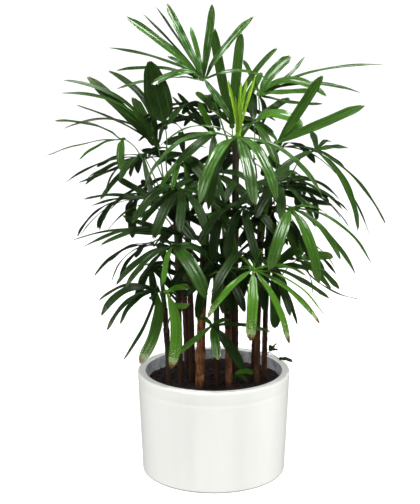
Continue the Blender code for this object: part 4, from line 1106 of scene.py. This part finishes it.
# A place on the bed, drawn so that every part of the round bed is as likely.
def placeOnBed(draw, widest):
    reach, heading = widest * math.sqrt(draw.random()), draw.uniform(0, 2 * math.pi)
    x, y = reach * math.cos(heading), reach * math.sin(heading)
    return np.array((x, y, soilHeight(x, y)))


# Crumbs: rough little balls of three rings of five points, half sunk into the bed.
def crumbParts(draw):
    parts = []
    tilt = np.array((-0.9, 0.0, 0.9))[:, None]
    ball = roundAxis(np.cos(tilt), anglesRound(5)) + np.sin(tilt)[..., None] * upwards
    for _ in range(soilForm["crumbs"]):
        place = placeOnBed(draw, soilForm["crumbReach"])
        size = draw.uniform(*soilForm["crumbSize"])
        rough = ball * draw.uniform(0.7, 1.2, (3, 5, 1)) * size * draw.uniform(0.7, 1.2, 3)
        finish = "bark" if draw.random() < soilForm["barkShare"] else "soil"
        parts.append(tubePart(rough + (place + 0.2 * size * upwards), finish))
    return parts


# Chips of bark: short flat slabs, bent a little, lying on the bed.
def chipParts(draw):
    parts = []
    share = np.linspace(-1, 1, 4)[:, None]
    corners = np.array(((1, 0.25), (-1, 0.25), (-1, -0.25), (1, -0.25)))
    for _ in range(soilForm["chips"]):
        place = placeOnBed(draw, soilForm["chipReach"])
        length, width = draw.uniform(*soilForm["chipLength"]), draw.uniform(*soilForm["chipWidth"])
        turn = draw.uniform(0, math.pi)
        way = np.array((math.cos(turn), math.sin(turn), draw.uniform(-0.25, 0.25)))
        side = np.array((-math.sin(turn), math.cos(turn), draw.uniform(-0.3, 0.3)))
        up = unitOf(np.cross(way, side))
        middle = place + 0.0012 * upwards + share * length * way + share**2 * 0.0008 * up
        taper = width * (1 - 0.4 * share**2)
        rings = middle[:, None] + taper[:, None] * (corners[:, :1] * side + corners[:, 1:] * up)
        parts.append(tubePart(rings, "bark"))
    return parts


# The bed is one closed skin of rings, across the bottom, up the wall and over the top to the middle, with
# crumbs and chips lying on it.
def makeSoil(seed):
    draw = np.random.default_rng(seed)
    walls = np.array(soilForm["walls"])
    top = soilForm["edge"] * (1 - np.linspace(0.004, 0.985, soilForm["rows"]))
    turn = anglesRound(soilForm["columns"])
    bottom = roundAxis(walls[:, :1], turn) + walls[:, 1, None, None] * upwards
    bed = roundAxis(top[:, None], turn)
    bed[..., 2] = soilHeight(bed[..., 0], bed[..., 1])
    parts = [tubePart(np.concatenate([bottom, bed]), "soil"), *crumbParts(draw), *chipParts(draw)]
    makePiece("soil_full", parts, ("soil", "bark"), ["soil"], creaseDegrees=80)


seeds = {"canes": 100, "fronds": 500, "shoots": 5, "soil": 7}  # the first seed of each kind of piece

names = sorted(frame["nodes"])
canes = {name: caneSkeleton(name) for name in names if name.startswith("cane_")}
for number, (name, cane) in enumerate(canes.items()):
    makeCane(name, cane, seeds["canes"] + number)
print("canes:", len(canes))

leaflets = 0
for number, name in enumerate(names):
    if name.startswith(("frond_", "leaf_")):
        leaflets += makeFrond(name, canes, seeds["fronds"] + number)
print("leaflets:", leaflets)

makeShoots(seeds["shoots"])
makePot()
makeSoil(seeds["soil"])
print("pot and soil ready")

plant = ("frond", "leaf", "shoots", "soil", "cane")
studio = {
    "floorSize": 60.0,
    "floorColour": (0.90, 0.90, 0.89),
    "backdropLight": 1.1,  # what the camera sees past the floor
    "roomLight": 0.12,  # what reaches the plant from all round
    "lamps": {  # place, aim, width, height, watts, lights the surfaces, is seen in their gloss
        "topLamp": ((0.25, -0.75, 3.0), (0.0, 0.0, 0.70), 0.7, 0.7, 52.0, True, True),
        "frontLamp": ((0.9, -3.0, 1.9), (0.0, 0.0, 0.50), 1.2, 1.2, 18.0, True, False),
        "sheenLamp": ((0.60, -1.3, 2.7), (0.0, 0.0, 0.95), 0.8, 0.8, 50.0, False, True),
        "sheenLeft": ((-1.9, -0.9, 1.8), (0.0, 0.0, 0.95), 0.6, 0.6, 14.0, False, True),
    },
    "suns": {  # pieces lit, strength, turn about Z from the viewer's side, height and softness in degrees
        "floorSun": (("floor",), 3.8, 0, 90, 1),
        "potSunLeft": (("pot",), 2.80, -70, 12, 1),
        "potSunFront": (("pot",), 0.58, 0, 12, 1),
        "potSunRight": (("pot",), 2.60, 70, 12, 1),
        "plantSun": (plant, 0.5, 8, 10, 20),
        "caneSun": (("cane",), 1.8, -35, 20, 10),
        "potSunBack": (("pot",), 2.6, 180, 8, 1),
        "plantSunBack": (plant, 3.4, 180, 14, 30),
        "plantSunLeft": (plant, 1.5, -105, 14, 30),
        "plantSunRight": (plant, 1.5, 105, 14, 30),
    },
}


# A flat square floor, wider than the view, with a very faint mottle. Only the camera sees it: it throws no
# light back at the plant.
def makeFloor():
    half = studio["floorSize"]
    mesh = bpy.data.meshes.new("floor")
    corners = [(-half, -half, 0), (half, -half, 0), (half, half, 0), (-half, half, 0)]
    mesh.from_pydata(corners, [], [(0, 1, 2, 3)])
    material, tree, shader = newMaterial("paleFloor", Roughness=0.9, Specular_IOR_Level=0.1)
    pale = studio["floorColour"]
    faint = mixOf(tree, noiseOf(tree, stretched(tree), 3.0), pale, tuple(0.98 * part for part in pale))
    finishWith(tree, shader, faint)
    mesh.materials.append(material)
    floor = objectOf("floor", mesh)
    floor.visible_diffuse = floor.visible_glossy = False


# Suns that light one kind of piece and are shaded by nothing else: they keep the floor plain white and the
# pot, the canes and the leaves as evenly lit as in the picture.
def makeSuns():
    for name, (kinds, strength, turn, height, softness) in studio["suns"].items():
        sun = bpy.data.lights.new(name, "SUN")
        sun.energy, sun.angle = strength, math.radians(softness)
        holder = objectOf(name, sun)
        holder.rotation_euler = (math.radians(90 - height), 0, math.radians(turn))
        holder.visible_glossy = False
        only = bpy.data.collections.new(name + "Only")
        for piece in bpy.context.scene.objects:
            isDrawn = piece.name in ("floor", "shoots") or piece.name.endswith("_full")
            if isDrawn and piece.name.startswith(kinds):
                only.objects.link(piece)
        holder.light_linking.receiver_collection = only
        holder.light_linking.blocker_collection = only


# Soft rectangular lamps, each turned from its place to its aim.
def makeLamps():
    for name, (place, aim, width, height, watts, inColour, inGloss) in studio["lamps"].items():
        lamp = bpy.data.lights.new(name, "AREA")
        lamp.shape = "RECTANGLE"
        lamp.size, lamp.size_y, lamp.energy = width, height, watts
        holder = objectOf(name, lamp)
        holder.location = place
        holder.visible_diffuse, holder.visible_glossy = inColour, inGloss
        holder.rotation_euler = (Vector(aim) - Vector(place)).to_track_quat("-Z", "Y").to_euler()


# A white room that is bright to the camera and dim to everything else.
def makeRoom():
    world = bpy.data.worlds.new("studio")
    world.use_nodes = True
    tree = world.node_tree
    seen = nodeOf(tree, "LightPath").outputs["Is Camera Ray"]
    strength = rangeOf(tree, seen, 0.0, 1.0, studio["roomLight"], studio["backdropLight"], smooth=False)
    tree.nodes["Background"].inputs["Color"].default_value = (1.0, 1.0, 1.0, 1.0)
    tree.links.new(strength, tree.nodes["Background"].inputs["Strength"])
    bpy.context.scene.world = world


# The camera at the view's eye, pitched down; its lens is the focal length as a share of the longer side.
def makeCamera():
    lens = bpy.data.cameras.new("camera")
    lens.sensor_width = 36.0
    lens.lens = view["focalPixels"] / view["height"] * lens.sensor_width
    camera = objectOf("camera", lens)
    camera.location = view["eye"]
    camera.rotation_euler = (math.radians(90 - view["pitchDegrees"]), 0, 0)
    bpy.context.scene.camera = camera


makeFloor()
makeSuns()
makeLamps()
makeRoom()
makeCamera()
bpy.context.scene.view_settings.view_transform = "Standard"
print("studio ready")
